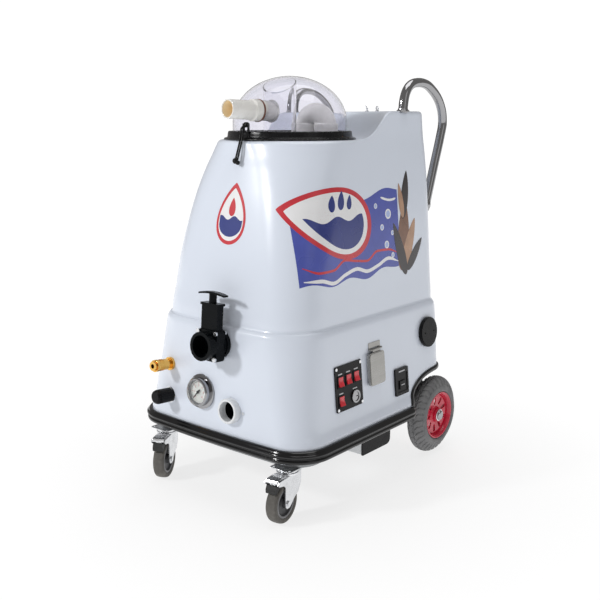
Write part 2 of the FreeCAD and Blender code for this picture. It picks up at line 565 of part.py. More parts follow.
g_case = revolve_y([(-22.0, 31.0), (-22.0, 33.5), (-19.0, 36.5), (-6.0, 36.5), (-4.5, 44.0), (0.0, 44.0), (0.0, 31.5),
                    (24.0, 31.5), (24.0, 9.0), (40.0, 9.0), (40.0, 0.0), (21.0, 0.0), (21.0, 28.5), (-13.5, 28.5),
                    (-13.5, 31.0)])
g_dial = cyl(28.3, (0, -10.2, 0), (0, -1, 0), 1.0)
g_lens = cyl(30.9, (0, -18.6, 0), (0, -1, 0), 1.8)
g_post = cyl(1.5, (0, -11.2, 0), (0, -1, 0), 4.4)
g_dial = g_dial.fuse(cyl(6.0, (0, 21.0, 0), (0, -1, 0), 31.2)).fuse(g_post).removeSplitter()
needle = fuse(tube(3.6, 1.56, (0, -15.2, 0), (0, 1, 0), 1.6),
              prism([(-1.5, -15.2, 2.4), (1.5, -15.2, 2.4), (0.35, -15.2, 24.0), (-0.35, -15.2, 24.0)], (0, 1.6, 0)),
              prism([(-2.2, -15.2, -8.0), (2.2, -15.2, -8.0), (1.6, -15.2, -2.4), (-1.6, -15.2, -2.4)], (0, 1.6, 0)))
NEEDLE_REST = 222.0
needle = turned(needle, (0, 0, 0), (0, 1, 0), NEEDLE_REST)
PX, PZ = 60.0, 244.0
port = revolve_y([(-17.0, 24.5), (-17.0, 29.5), (-15.0, 31.0), (0.0, 31.8), (0.0, 28.0), (40.0, 28.0), (40.0, 24.5)])
port = port.fuse(tube(31.8, 27.0, (0, -4.0, 0), (0, 1, 0), 4.0)).removeSplitter()
for nm, sh, fx, fz in (("quick_coupler_body", c_body, CX, CZ), ("quick_coupler_collar", c_collar, CX, CZ),
                       ("regulator_body", r_body, R_X, R_Z), ("regulator_knob", knob, R_X, R_Z),
                       ("gauge_case", g_case, AX, AZ), ("gauge_dial", g_dial, AX, AZ), ("gauge_lens", g_lens, AX, AZ),
                       ("gauge_needle", needle, AX, AZ), ("hose_port", port, PX, PZ)):
    T[nm] = on_front(sh, fx, fz)
for r, fx, fz in ((9.7, CX, CZ), (9.7, R_X, R_Z), (31.7, AX, AZ), (28.2, PX, PZ)):
    base = base.cut(on_front(cyl(r, (0, -20, 0), (0, 1, 0), 60.0), fx, fz))
for nm in ("quick_coupler_body", "regulator_body", "gauge_case", "hose_port"):
    T[nm] = T[nm].cut(base)
    T[nm] = sorted(T[nm].Solids, key=lambda s: -s.Volume)[0]
T["gate_valve_rear"] = sorted(T["gate_valve_rear"].Solids, key=lambda s: -s.Volume)[0]
port_screw = on_front(fuse(cyl(4.0, (0, -2.4, 0), (0, 1, 0), 2.2), cyl(1.8, (0, -0.4, 0), (0, 1, 0), 10.0)), 100.0, 244.5)
base = base.cut(on_front(cyl(1.9, (0, -10, 0), (0, 1, 0), 30.0), 100.0, 244.5))
port_screw = port_screw.cut(base)
port_screw = sorted(port_screw.Solids, key=lambda s: -s.Volume)[0]

# ---------------------------------------------------------------- side electrics
SP_Y, SP_Z = -173.5, 300.0
ROCKERS = [(-33.5, 17.0), (-1.5, 17.5), (30.5, 18.0), (-33.5, -31.0)]
panel = rounded_plate(-54.0, -56.5, 54.0, 56.5, 4.0, 0.8, 3.2, "x")
screws = []
for sy, sz in ((-48.5, -50.5), (48.5, -50.5), (48.5, 50.5), (-48.5, 50.5)):
    panel = panel.cut(cyl(1.9, (-2, sy, sz), (1, 0, 0), 10.0))
    screws.append(fuse(cyl(3.9, (3.2, sy, sz), (1, 0, 0), 1.8), cyl(1.8, (-8.0, sy, sz), (1, 0, 0), 11.4)))
rock, frames = [], []
for ry, rz in ROCKERS:
    frame = rounded_plate(ry - 12.5, rz - 15.0, ry + 12.5, rz + 15.0, 1.5, 3.2, 5.0, "x")
    frame = frame.fuse(box(-26.0, ry - 11.0, rz - 13.6, 3.3, ry + 11.0, rz + 13.6)).removeSplitter()
    frame = frame.cut(box(-22.0, ry - 9.4, rz - 12.9, 10.0, ry + 9.4, rz + 12.9))
    panel = panel.cut(box(-2, ry - 11.1, rz - 13.7, 10, ry + 11.1, rz + 13.7))
    pin = cyl(1.5, (0.6, ry - 9.5, rz), (0, 1, 0), 19.0)
    frames.append(frame.fuse(pin).removeSplitter())
    prof = [(-4.0, -9.0), (4.6, -12.0), (8.0, -11.6), (5.4, 0.0), (8.0, 11.6), (4.6, 12.0), (-4.0, 9.0)]
    rk = prism([(x, ry - 9.1, rz + z) for x, z in prof], (0, 18.2, 0))
    rk = rk.cut(cyl(1.56, (0.6, ry - 12.0, rz), (0, 1, 0), 24.0))
    rk = turned(rk, (0.6, ry, rz), (0, 1, 0), -9.0)
    rock.append(rk)
KEY = (22.5, -31.0)
key_ring = tube(16.5, 11.3, (3.2, KEY[0], KEY[1]), (1, 0, 0), 4.0).fuse(
    tube(13.0, 11.3, (-22.0, KEY[0], KEY[1]), (1, 0, 0), 26.0)).removeSplitter()
panel = panel.cut(cyl(13.1, (-2, KEY[0], KEY[1]), (1, 0, 0), 10.0))
barrel = cyl(11.24, (-20.0, KEY[0], KEY[1]), (1, 0, 0), 25.0)
barrel = barrel.cut(box(2.0, KEY[0] + 1.5, KEY[1] - 1.5, 12.0, KEY[0] + 8.0, KEY[1] + 1.5))
side_holes = [box(-14, r[0] - 11.6, r[1] - 14.2, 14, r[0] + 11.6, r[1] + 14.2) for r in ROCKERS]
side_holes.append(cyl(13.6, (-14, KEY[0], KEY[1]), (1, 0, 0), 28.0))
side_holes += [cyl(1.95, (-14, sy, sz), (1, 0, 0), 28.0) for sy, sz in
               ((-48.5, -50.5), (48.5, -50.5), (48.5, 50.5), (-48.5, 50.5))]
for h in side_holes:
    base = base.cut(on_side(h, SP_Y, SP_Z))
T["switch_panel"] = on_side(panel, SP_Y, SP_Z)
T["panel_screws"] = group(*[on_side(s, SP_Y, SP_Z) for s in screws], port_screw)
for i, rk in enumerate(rock):
    T["rocker_%d" % (i + 1)] = on_side(rk, SP_Y, SP_Z)
frames_s = group(*[on_side(f, SP_Y, SP_Z) for f in frames])
T["key_switch_ring"] = on_side(key_ring, SP_Y, SP_Z)
T["key_switch_barrel"] = on_side(barrel, SP_Y, SP_Z)

IN_Y, IN_Z = -62.0, 326.0
inlet = fuse(rounded_plate(-30.0, -32.0, 30.0, 32.0, 6.0, 0.8, 4.0, "x"),
             cyl(26.0, (-34.0, 0, 0), (1, 0, 0), 35.0), cyl(21.0, (3.9, 0, 0), (1, 0, 0), 5.6))
inlet = inlet.cut(cyl(18.0, (-20.0, 0, 0), (1, 0, 0), 40.0))
pins = [cyl(2.4, (-22.0, py, pz), (1, 0, 0), 26.0) for py, pz in ((0, 8.5), (-8.0, -5.5), (8.0, -5.5))]
inlet = fuse(inlet, *pins)
base = base.cut(on_side(cyl(26.4, (-20, 0, 0), (1, 0, 0), 40.0), IN_Y, IN_Z))
T["power_inlet"] = on_side(inlet, IN_Y, IN_Z)
HZ = 43.5
hinge_plate = fuse(box(0.8, -25.0, HZ + 4.5, 2.4, 25.0, HZ + 18.0),
                   box(0.8, -25.0, HZ - 2.0, 2.4, -16.0, HZ + 5.0), box(0.8, 16.0, HZ - 2.0, 2.4, 25.0, HZ + 5.0),
                   box(2.0, -25.0, HZ - 2.4, 5.2, -16.0, HZ + 2.4), box(2.0, 16.0, HZ - 2.4, 5.2, 25.0, HZ + 2.4))
hinge_plate = hinge_plate.fuse(cyl(3.2, (5.6, -25.0, HZ), (0, 1, 0), 9.0)).fuse(cyl(3.2, (5.6, 16.0, HZ), (0, 1, 0), 9.0))
hinge_plate = hinge_plate.fuse(cyl(1.5, (5.6, -25.0, HZ), (0, 1, 0), 50.0)).removeSplitter()
T["inlet_hinge_plate"] = on_side(moved(hinge_plate, 0, 4.0, 0), IN_Y, IN_Z)
cover_o = rounded_plate(-33.0, -47.0, 33.0, 36.5, 9.0, 4.6, 11.5, "x").fuse(
    rounded_plate(-31.0, -45.0, 31.0, 34.5, 8.0, 11.4, 13.0, "x"))
cover_i = rounded_plate(-31.4, -45.4, 31.4, 34.9, 7.4, 2.0, 10.6, "x")
cover = cover_o.cut(cover_i).fuse(cyl(3.2, (5.6, -11.5, HZ), (0, 1, 0), 31.0)).fuse(
    box(5.0, -11.5, 34.6, 8.2, 19.5, HZ + 0.6))
cover = cover.cut(cyl(1.56, (5.6, -60, HZ), (0, 1, 0), 120.0)).removeSplitter()
T["inlet_cover"] = on_side(cover, IN_Y, IN_Z)

BK_Y, BK_Z = 55.5, 258.5
brk = fuse(rounded_plate(-30.5, -36.0, 30.5, 36.0, 2.5, 0.8, 5.0, "x"), box(-52.0, -26.0, -28.0, 1.0, 26.0, 28.0))
brk = brk.cut(box(3.2, -22.0, -28.0, 8.0, 24.5, 22.0)).fuse(box(1.0, -12.0, -20.0, 6.4, 14.0, 2.0)).removeSplitter()
base = base.cut(on_side(box(-20.0, -26.4, -28.4, 20.0, 26.4, 28.4), BK_Y, BK_Z))
T["breaker_box"] = on_side(brk, BK_Y, BK_Z)

CP_Y, CP_Z = 193.0, 366.0
neck = tube(34.0, 29.0, (-14.0, 0, 0), (1, 0, 0), 20.0).fuse(tube(39.5, 29.0, (0.8, 0, 0), (1, 0, 0), 2.4)).removeSplitter()
cap = fuse(cyl(41.5, (3.6, 0, 0), (1, 0, 0), 6.4), cyl(39.0, (9.9, 0, 0), (1, 0, 0), 1.6))
cap = cap.cut(cyl(34.4, (2.0, 0, 0), (1, 0, 0), 5.0)).cut(cyl(2.5, (8.5, -22.0, 0), (1, 0, 0), 6.0)).cut(
    cyl(2.5, (8.5, 22.0, 0), (1, 0, 0), 6.0))
base = base.cut(on_side(cyl(34.3, (-20.0, 0, 0), (1, 0, 0), 40.0), CP_Y, CP_Z))
T["side_cap_neck"] = on_side(neck, CP_Y, CP_Z)
T["side_cap"] = on_side(cap, CP_Y, CP_Z)
for nm in ("switch_panel", "power_inlet", "inlet_hinge_plate", "breaker_box", "side_cap_neck"):
    sh = T[nm].cut(base)
    T[nm] = sorted(sh.Solids, key=lambda s: -s.Volume)[0]

# ---------------------------------------------------------------- rear axle and wheels
axle = cyl(AXLE_R, (-275.0, AXLE_Y, WHEEL_D / 2), (1, 0, 0), 550.0)
br = box(178.0, AXLE_Y - 26.0, 92.0, 186.0, AXLE_Y + 12.0, PAN_Z0).fuse(
    cyl(18.0, (178.0, AXLE_Y, WHEEL_D / 2), (1, 0, 0), 8.0)).fuse(
    box(150.0, AXLE_Y - 26.0, PAN_Z0 - 4.0, 186.0, AXLE_Y + 10.0, PAN_Z0)).removeSplitter()
br = br.cut(cyl(AXLE_R + 0.02, (100.0, AXLE_Y, WHEEL_D / 2), (1, 0, 0), 200.0))
cap_r = fuse(cyl(17.0, (273.2, AXLE_Y, WHEEL_D / 2), (1, 0, 0), 1.8), cyl(14.0, (275.0, AXLE_Y, WHEEL_D / 2), (1, 0, 0), 5.0))
cap_r = cap_r.cut(cyl(AXLE_R + 0.01, (262.0, AXLE_Y, WHEEL_D / 2), (1, 0, 0), 13.05))

half = [(22.0, RIM_R), (24.0, 69.2), (27.5, 69.4), (29.4, 73.5), (28.9, 78.0), (26.3, 83.5), (23.3, 88.5), (20.4, 94.0),
        (17.4, 99.5), (14.0, 104.3), (9.5, 108.2), (4.0, WHEEL_D / 2)]
tyre_pts = [(-x, r) for x, r in half] + list(reversed(half))
tyre = revolve_x(tyre_pts, (WHEEL_X, AXLE_Y, WHEEL_D / 2))
rim_pts = [(-30.0, AXLE_R + 0.05), (-30.0, 19.0), (-4.0, 21.0), (-4.0, 52.0), (-23.0, 56.0), (-27.0, RIM_R + 4.0),
           (-24.5, RIM_R + 4.5), (-22.05, RIM_R - 0.05), (22.05, RIM_R - 0.05), (24.5, RIM_R + 4.5), (27.0, RIM_R + 4.0),
           (23.0, 56.0), (12.0, 50.0), (10.0, 24.0), (25.5, 19.0), (25.5, AXLE_R + 0.05)]
rim = revolve_x(rim_pts, (WHEEL_X, AXLE_Y, WHEEL_D / 2))
holes = []
for i in range(9):
    a = 2 * math.pi * i / 9
    h = fuse(cyl(8.2, (-20.0, 0, 42.0), (1, 0, 0), 60.0), cyl(4.6, (-20.0, 0, 30.5), (1, 0, 0), 60.0),
             prism([(-20.0, -4.6, 30.5), (-20.0, 4.6, 30.5), (-20.0, 8.0, 40.5), (-20.0, -8.0, 40.5)], (60, 0, 0)))
    h = turned(h, (0, 0, 0), (1, 0, 0), 40.0 * i)
    holes.append(moved(h, WHEEL_X, AXLE_Y, WHEEL_D / 2))
rim = rim.cut(Part.makeCompound(holes))
for s in [rim]:
    tyre = tyre.cut(revolve_x([(-27.2, RIM_R - 10), (-27.2, RIM_R + 4.2), (-24.4, RIM_R + 4.7), (-22.0, RIM_R), (22.0, RIM_R),
                               (24.4, RIM_R + 4.7), (27.2, RIM_R + 4.2), (27.2, RIM_R - 10)], (WHEEL_X, AXLE_Y, WHEEL_D / 2)))

# ---------------------------------------------------------------- casters
def caster(turn, x):
    r = CASTER_D / 2
    ty = -CASTER_TRAIL
    plate = rounded_plate(-32.0, -30.0, 32.0, 30.0, 5.0, CASTER_H - 3.0, CASTER_H, "z")
    for px in (-25, 25):
        for py in (-23, 23):
            plate = plate.cut(cyl(3.2, (px, py, 120), (0, 0, 1), 20))
    race = cyl(26.0, (0, 0, CASTER_H - 9.5), (0, 0, 1), 6.6)
    plate = plate.fuse(race).cut(cyl(6.05, (0, 0, 100), (0, 0, 1), 60)).removeSplitter()
    crown = cyl(28.0, (0, 0, CASTER_H - 14.5), (0, 0, 1), 4.4)
    deck = box(-19.5, -30.0, CASTER_H - 17.5, 19.5, 26.0, CASTER_H - 14.4)
    prof = [(30.0, 116.6), (29.0, 86.0), (17.0, 66.0), (-3.0, 54.5), (-15.5, 43.0), (-22.0, 38.5), (-33.0, 38.5),
            (-39.0, 44.0), (-40.5, 54.0), (-39.0, 92.0), (-43.0, 98.5), (-49.0, 101.5), (-66.0, 105.0), (-71.5, 110.5),
            (-68.0, 116.6)]
    leg = prism([(0, y, z) for y, z in prof], (2.6, 0, 0))
    kingpin = cyl(6.0, (0, 0, CASTER_H - 14.0), (0, 0, 1), 13.5)
    fork = fuse(crown, deck, moved(leg, 16.9), moved(leg, -19.5), kingpin)
    bolt = fuse(cyl(4.0, (-22.5, ty, r), (1, 0, 0), 45.0), cyl(7.0, (19.55, ty, r), (1, 0, 0), 3.4),
                cyl(7.0, (-22.9, ty, r), (1, 0, 0), 3.35))
    fork = fork.cut(cyl(4.05, (-40, ty, r), (1, 0, 0), 80.0))
    hub = fuse(cyl(r, (-CASTER_W / 2, ty, r), (1, 0, 0), CASTER_W), cyl(11.5, (-16.5, ty, r), (1, 0, 0), 33.0))
    for sx in (-1, 1):
        rec = tube(36.5, 14.0, (0, ty, r), (1, 0, 0), 10.0)
        hub = hub.cut(moved(rec, 5.5 if sx > 0 else -15.5))
    wheel = hub.cut(cyl(4.06, (-40, ty, r), (1, 0, 0), 80.0)).removeSplitter()
    # brake pedal: a pressed plate on a cross pin with a rubber shoe beneath it
    py0, pz0 = -38.0, CASTER_H - 20.0
    ped = prism([(-16.4, y, z) for y, z in ((-31.5, 118.2), (-31.5, 120.6), (-60.0, 121.0), (-68.5, 119.8), (-71.5, 116.0),
                                            (-71.0, 112.0), (-69.0, 112.0), (-69.3, 115.4), (-67.0, 117.6),
                                            (-60.0, 118.6))], (32.8, 0, 0))
    lugs = fuse(box(13.6, -42.5, 106.8, 16.4, -33.5, 119.0), box(-16.4, -42.5, 106.8, -13.6, -33.5, 119.0))
    shoe = prism([(-13.0, y, z) for y, z in ((-48.0, 107.0), (-70.0, 107.0), (-75.0, 97.0), (-74.0, 87.5), (-71.0, 87.2),
                                             (-68.0, 89.2), (-62.0, 93.6), (-56.0, 97.3), (-50.0, 100.2))], (26.0, 0, 0))
    web = box(-8.0, -66.0, 106.0, 8.0, -50.0, 119.0)
    pedal = fuse(ped, lugs, shoe, web).cut(cyl(2.06, (-30, py0, pz0), (1, 0, 0), 60.0)).removeSplitter()
    pin = cyl(2.0, (-19.5, py0, pz0), (1, 0, 0), 39.0)
    fork = fork.cut(cyl(2.0, (-22.5, py0, pz0), (1, 0, 0), 45.0)).fuse(pin).removeSplitter()
    out = []
    for s in (plate, group(fork, bolt), wheel, pedal):
        s = s if s is plate else turned(s, (0, 0, 0), (0, 0, 1), turn)
        out.append(moved(s, x, CASTER_Y, 0))
    return out


plate_r, fork_r, cw_r, ped_r = caster(CASTER_TURN_R, CASTER_X)
plate_l, fork_l, cw_l, ped_l = caster(CASTER_TURN_L, -CASTER_X)

# ---------------------------------------------------------------- collect
add("base_housing", base)
add("tank_housing", tank)
add("base_pan", pan)
add("bumper_strip", bumper)
add("wheel_arch_liners", group(liner, mirror_x(liner), trim, mirror_x(trim)))
add("rear_axle", group(axle, cap_r, mirror_x(cap_r)))
add("axle_brackets", group(br, mirror_x(br)))
hand = group(hs, flange_top, flange_bot)
add("handle_right", hand)
add("handle_left", mirror_x(hand))
add("exhaust_box", group(exhaust, exhaust_plate))
add("shelf_hooks", group(hook_a, hook_b))
add("solution_tank", sol)
add("pump_unit", pump)
add("vacuum_motors", motors)
add("standpipe_bend", standpipe)
add("lid_ring", ring)
add("dome_lid", dome)
add("inlet_cuff", cuff)
add("inlet_coupling", coupling)
add("inlet_diffuser", diffuser)
add("lid_tie", tie)
for nm in ("gate_valve_rear", "gate_valve_front", "gate_valve_bolts", "gate_blade", "gate_handle",
           "quick_coupler_body", "quick_coupler_collar", "regulator_body", "regulator_knob", "gauge_case", "gauge_dial",
           "gauge_lens", "gauge_needle", "hose_port", "panel_screws", "rocker_1", "rocker_2", "rocker_3", "rocker_4",
           "key_switch_ring", "key_switch_barrel", "power_inlet", "inlet_hinge_plate", "inlet_cover", "breaker_box",
           "side_cap_neck", "side_cap"):
    add(nm, T[nm])
add("switch_panel", group(T["switch_panel"], frames_s))
add("caster_plates", group(plate_r, plate_l))
add("caster_fork_right", fork_r)
add("caster_fork_left", fork_l)
add("caster_wheel_right", cw_r)
add("caster_wheel_left", cw_l)
add("brake_pedal_right", ped_r)
add("brake_pedal_left", ped_l)
add("rear_tyre_right", tyre)
add("rear_tyre_left", mirror_x(tyre))
add("rear_rim_right", rim)
add("rear_rim_left", mirror_x(rim))

lo = [1e9] * 3
hi = [-1e9] * 3
for name, shape in NODES.items():
    s = shape.copy()
    s.translate(V(0, SHIFT_Y, 0))
    bb = s.optimalBoundingBox(False, False)
    for i, (a, b) in enumerate(((bb.XMin, bb.XMax), (bb.YMin, bb.YMax), (bb.ZMin, bb.ZMax))):
        lo[i], hi[i] = min(lo[i], a), max(hi[i], b)
    ok = s.isValid() and all(x.isValid() and x.isClosed() for x in s.Solids) and len(s.Solids) > 0
    print("%-24s solids %2d  vol %10.1f  %s" % (name, len(s.Solids), s.Volume / 1000.0, "" if ok else "INVALID"))
    s.exportStep("parts/%s.step" % name)
print("nodes", len(NODES), "low", [round(v, 2) for v in lo], "high", [round(v, 2) for v in hi],
      "mid y", round((lo[1] + hi[1]) / 2, 3))
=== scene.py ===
import math

import bmesh
import bpy
import numpy as np
from mathutils import Matrix, Vector
from mathutils.geometry import delaunay_2d_cdt

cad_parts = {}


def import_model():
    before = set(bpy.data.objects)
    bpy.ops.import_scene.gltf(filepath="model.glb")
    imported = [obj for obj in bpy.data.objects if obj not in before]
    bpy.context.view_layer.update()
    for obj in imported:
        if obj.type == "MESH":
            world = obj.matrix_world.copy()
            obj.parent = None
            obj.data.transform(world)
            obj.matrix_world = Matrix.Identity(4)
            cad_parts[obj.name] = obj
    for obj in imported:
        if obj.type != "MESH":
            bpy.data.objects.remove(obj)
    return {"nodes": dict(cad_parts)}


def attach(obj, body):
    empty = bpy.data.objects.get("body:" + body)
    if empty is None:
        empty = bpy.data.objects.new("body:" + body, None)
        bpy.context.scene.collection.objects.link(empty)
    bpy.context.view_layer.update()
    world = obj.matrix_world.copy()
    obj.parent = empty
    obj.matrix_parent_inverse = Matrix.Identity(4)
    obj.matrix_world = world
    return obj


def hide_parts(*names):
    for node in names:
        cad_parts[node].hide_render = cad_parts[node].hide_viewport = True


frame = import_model()
for spare in ("Cube", "Light", "Camera"):
    if spare in bpy.data.objects:
        bpy.data.objects.remove(bpy.data.objects[spare])


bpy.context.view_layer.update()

# ------------------------------------------------------------------ numbers
MM = 0.001
SHIFT_Y = 27.5
FRONT_TILT = math.radians(5.0)
SIDE_TILT = math.radians(5.2)
WALL = 6.0
RING_Y = -79.0
DECK_Z, SHELF_Z = 888.0, 960.0
WELL_X = 199.0

BASE_SEC = np.array([
    (150.0, 284.5, -378.0, 285.0, 84.0, 5.0),
    (186.0, 284.5, -378.0, 285.0, 84.0, 5.0),
    (198.0, 281.0, -376.8, 284.5, 83.0, 5.0),
    (210.0, 276.0, -375.6, 284.5, 82.0, 5.0),
    (224.0, 273.0, -375.0, 284.5, 84.0, 5.0),
    (330.0, 263.2, -367.5, 285.0, 104.0, 5.0),
    (428.0, 254.6, -360.6, 286.0, 118.0, 5.0),
    (438.0, 252.5, -358.6, 285.0, 117.0, 5.0),
    (446.0, 247.0, -353.5, 283.0, 113.0, 5.0),
])
TANK_SEC = np.array([
    (446.0, 240.5, -346.6, 281.5, 107.0, 5.0),
    (452.0, 241.2, -347.6, 286.0, 107.5, 5.0),
    (520.0, 236.0, -336.9, 286.6, 107.0, 5.0),
    (600.0, 230.0, -323.4, 287.4, 110.0, 4.5),
    (680.0, 223.5, -306.2, 288.6, 120.0, 4.0),
    (760.0, 216.1, -286.6, 290.0, 136.0, 3.5),
    (820.0, 208.5, -268.5, 291.2, 153.0, 3.0),
    (860.0, 202.5, -256.5, 292.2, 170.0, 2.5),
    (892.0, 197.0, -251.5, 292.8, 184.0, 2.0),
    (960.0, 190.5, -251.0, 293.0, 184.0, 2.0),
])
REAR_R = 60.0


def world(p):
    """Design millimetres to metres in the model's frame."""
    p = np.asarray(p, float)
    return (p + np.array([0.0, SHIFT_Y, 0.0])) * MM


def pchip(xs, ys, x):
    xs, ys = np.asarray(xs, float), np.asarray(ys, float)
    h = np.diff(xs)
    d = np.diff(ys) / h
    m = np.zeros_like(ys)
    m[0], m[-1] = d[0], d[-1]
    for i in range(1, len(xs) - 1):
        if d[i - 1] * d[i] > 0:
            w1, w2 = 2 * h[i] + h[i - 1], h[i] + 2 * h[i - 1]
            m[i] = (w1 + w2) / (w1 / d[i - 1] + w2 / d[i])
    x = np.clip(x, xs[0], xs[-1])
    k = np.clip(np.searchsorted(xs, x, side="right") - 1, 0, len(xs) - 2)
    t = (x - xs[k]) / h[k]
    return ((2 * t ** 3 - 3 * t ** 2 + 1) * ys[k] + (t ** 3 - 2 * t ** 2 + t) * h[k] * m[k]
            + (-2 * t ** 3 + 3 * t ** 2) * ys[k + 1] + (t ** 3 - t ** 2) * h[k] * m[k + 1])


# plan outline: segment index and fraction for every point round the body
SEG = []
for seg, n in enumerate((56, 56, 84, 22, 48, 22, 84, 56)):
    SEG += [(seg, i / n) for i in range(n)]
SEG_I = np.array([s for s, _ in SEG])
SEG_T = np.array([t for _, t in SEG])
NU = len(SEG)


def wall_raw(sec, z, off=0.0):
    """Plan position of every outline point, each at its own height z."""
    z = np.broadcast_to(np.asarray(z, float), (NU,))
    off = np.broadcast_to(np.asarray(off, float), (NU,))
    w = pchip(sec[:, 0], sec[:, 1], z) - off
    f = pchip(sec[:, 0], sec[:, 2], z) + off
    b = pchip(sec[:, 0], sec[:, 3], z) - off
    rf = np.maximum(pchip(sec[:, 0], sec[:, 4], z) - off, 6.0)
    bow = pchip(sec[:, 0], sec[:, 5], z)
    rb = np.maximum(REAR_R - off, 6.0)
    rf = np.minimum(rf, w - 6.0)
    xf, yf = w - rf, f + bow
    x, y = np.zeros(NU), np.zeros(NU)
    t, a = SEG_T, SEG_T * math.pi / 2
    for s in range(8):
        m = SEG_I == s
        if s == 0:
            x[m] = (-xf + 2 * xf * t)[m]
            y[m] = (f + bow * (2 * t - 1) ** 2)[m]
        elif s == 1:
            x[m] = (xf + rf * np.sin(a))[m]
            y[m] = (yf + rf - rf * np.cos(a))[m]
        elif s == 2:
            x[m] = w[m]
            y[m] = (yf + rf + (b - rb - yf - rf) * t)[m]
        elif s == 3:
            x[m] = (w - rb + rb * np.cos(a))[m]
            y[m] = (b - rb + rb * np.sin(a))[m]
        elif s == 4:
            x[m] = (w - rb - 2 * (w - rb) * t)[m]
            y[m] = b[m]
        elif s == 5:
            x[m] = (-(w - rb) - rb * np.sin(a))[m]
            y[m] = (b - rb + rb * np.cos(a))[m]
        elif s == 6:
            x[m] = -w[m]
            y[m] = (b - rb - (b - rb - yf - rf) * t)[m]
        else:
            x[m] = (-xf - rf * np.cos(a))[m]
            y[m] = (yf + rf - rf * np.sin(a))[m]
    return x, y


def smooth_ring(v, n=6):
    for _ in range(n):
        v = 0.25 * np.roll(v, 1) + 0.5 * v + 0.25 * np.roll(v, -1)
    return v


def wall(sec, z, off=0.0):
    x, y = wall_raw(sec, z, off)
    return smooth_ring(x), smooth_ring(y)


def ring3(x, y, z):
    return np.stack([x, y, np.broadcast_to(np.asarray(z, float), x.shape)], axis=1)


_bt = np.linspace(0, 1, 200)
_bez = [(189.0, DECK_Z), (219.0, DECK_Z), (234.0, SHELF_Z), (264.0, SHELF_Z)]
_br = sum(c * p[0] for c, p in zip(((1 - _bt) ** 3, 3 * (1 - _bt) ** 2 * _bt, 3 * (1 - _bt) * _bt ** 2, _bt ** 3), _bez))
_bz = sum(c * p[1] for c, p in zip(((1 - _bt) ** 3, 3 * (1 - _bt) ** 2 * _bt, 3 * (1 - _bt) * _bt ** 2, _bt ** 3), _bez))


def top_z(r):
    return np.interp(r, _br, _bz)


def front_matrix(x, z):
    i = np.interp
    w, f, rf, bow = (i(z, BASE_SEC[:, 0], BASE_SEC[:, k]) for k in (1, 2, 4, 5))
    y = f + bow * min(1.0, abs(x) / (w - rf)) ** 2
    return Matrix.Translation(Vector(world((x, y, z)))) @ Matrix.Rotation(-FRONT_TILT, 4, "X") @ Matrix.Scale(MM, 4)


def side_matrix(y, z):
    w = np.interp(z, BASE_SEC[:, 0], BASE_SEC[:, 1])
    return Matrix.Translation(Vector(world((w, y, z)))) @ Matrix.Rotation(-SIDE_TILT, 4, "Y") @ Matrix.Scale(MM, 4)


def plain_matrix():
    return Matrix.Translation(Vector((0, SHIFT_Y * MM, 0))) @ Matrix.Scale(MM, 4)


# ------------------------------------------------------------------ materials
def new_mat(name):
    m = bpy.data.materials.new(name)
    m.use_nodes = True
    nt = m.node_tree
    bsdf = nt.nodes["Principled BSDF"]
    return m, nt, bsdf


def coord(nt, scale=1.0):
    tc = nt.nodes.new("ShaderNodeTexCoord")
    mp = nt.nodes.new("ShaderNodeMapping")
    mp.inputs["Scale"].default_value = (scale, scale, scale) if np.isscalar(scale) else scale
    nt.links.new(tc.outputs["Object"], mp.inputs["Vector"])
    return mp.outputs["Vector"]


def noise(nt, vec, scale, detail=3.0, rough=0.5):
    n = nt.nodes.new("ShaderNodeTexNoise")
    n.inputs["Scale"].default_value = scale
    n.inputs["Detail"].default_value = detail
    n.inputs["Roughness"].default_value = rough
    nt.links.new(vec, n.inputs["Vector"])
    return n.outputs["Fac"]


def ramp(nt, fac, stops):
    r = nt.nodes.new("ShaderNodeValToRGB")
    el = r.color_ramp.elements
    while len(el) < len(stops):
        el.new(0.5)
    for e, (p, c) in zip(el, stops):
        e.position = p
        e.color = (*c, 1.0) if len(c) == 3 else c
    nt.links.new(fac, r.inputs["Fac"])
    return r.outputs["Color"]


def fit(nt, fac, lo, hi, a=0.3, b=0.7):
    m = nt.nodes.new("ShaderNodeMapRange")
    m.inputs["From Min"].default_value = a
    m.inputs["From Max"].default_value = b
    m.inputs["To Min"].default_value = lo
    m.inputs["To Max"].default_value = hi
    nt.links.new(fac, m.inputs["Value"])
    return m.outputs["Result"]


def bump(nt, bsdf, height, strength, distance):
    b = nt.nodes.new("ShaderNodeBump")
    b.inputs["Strength"].default_value = strength
    b.inputs["Distance"].default_value = distance
    nt.links.new(height, b.inputs["Height"])
    nt.links.new(b.outputs["Normal"], bsdf.inputs["Normal"])


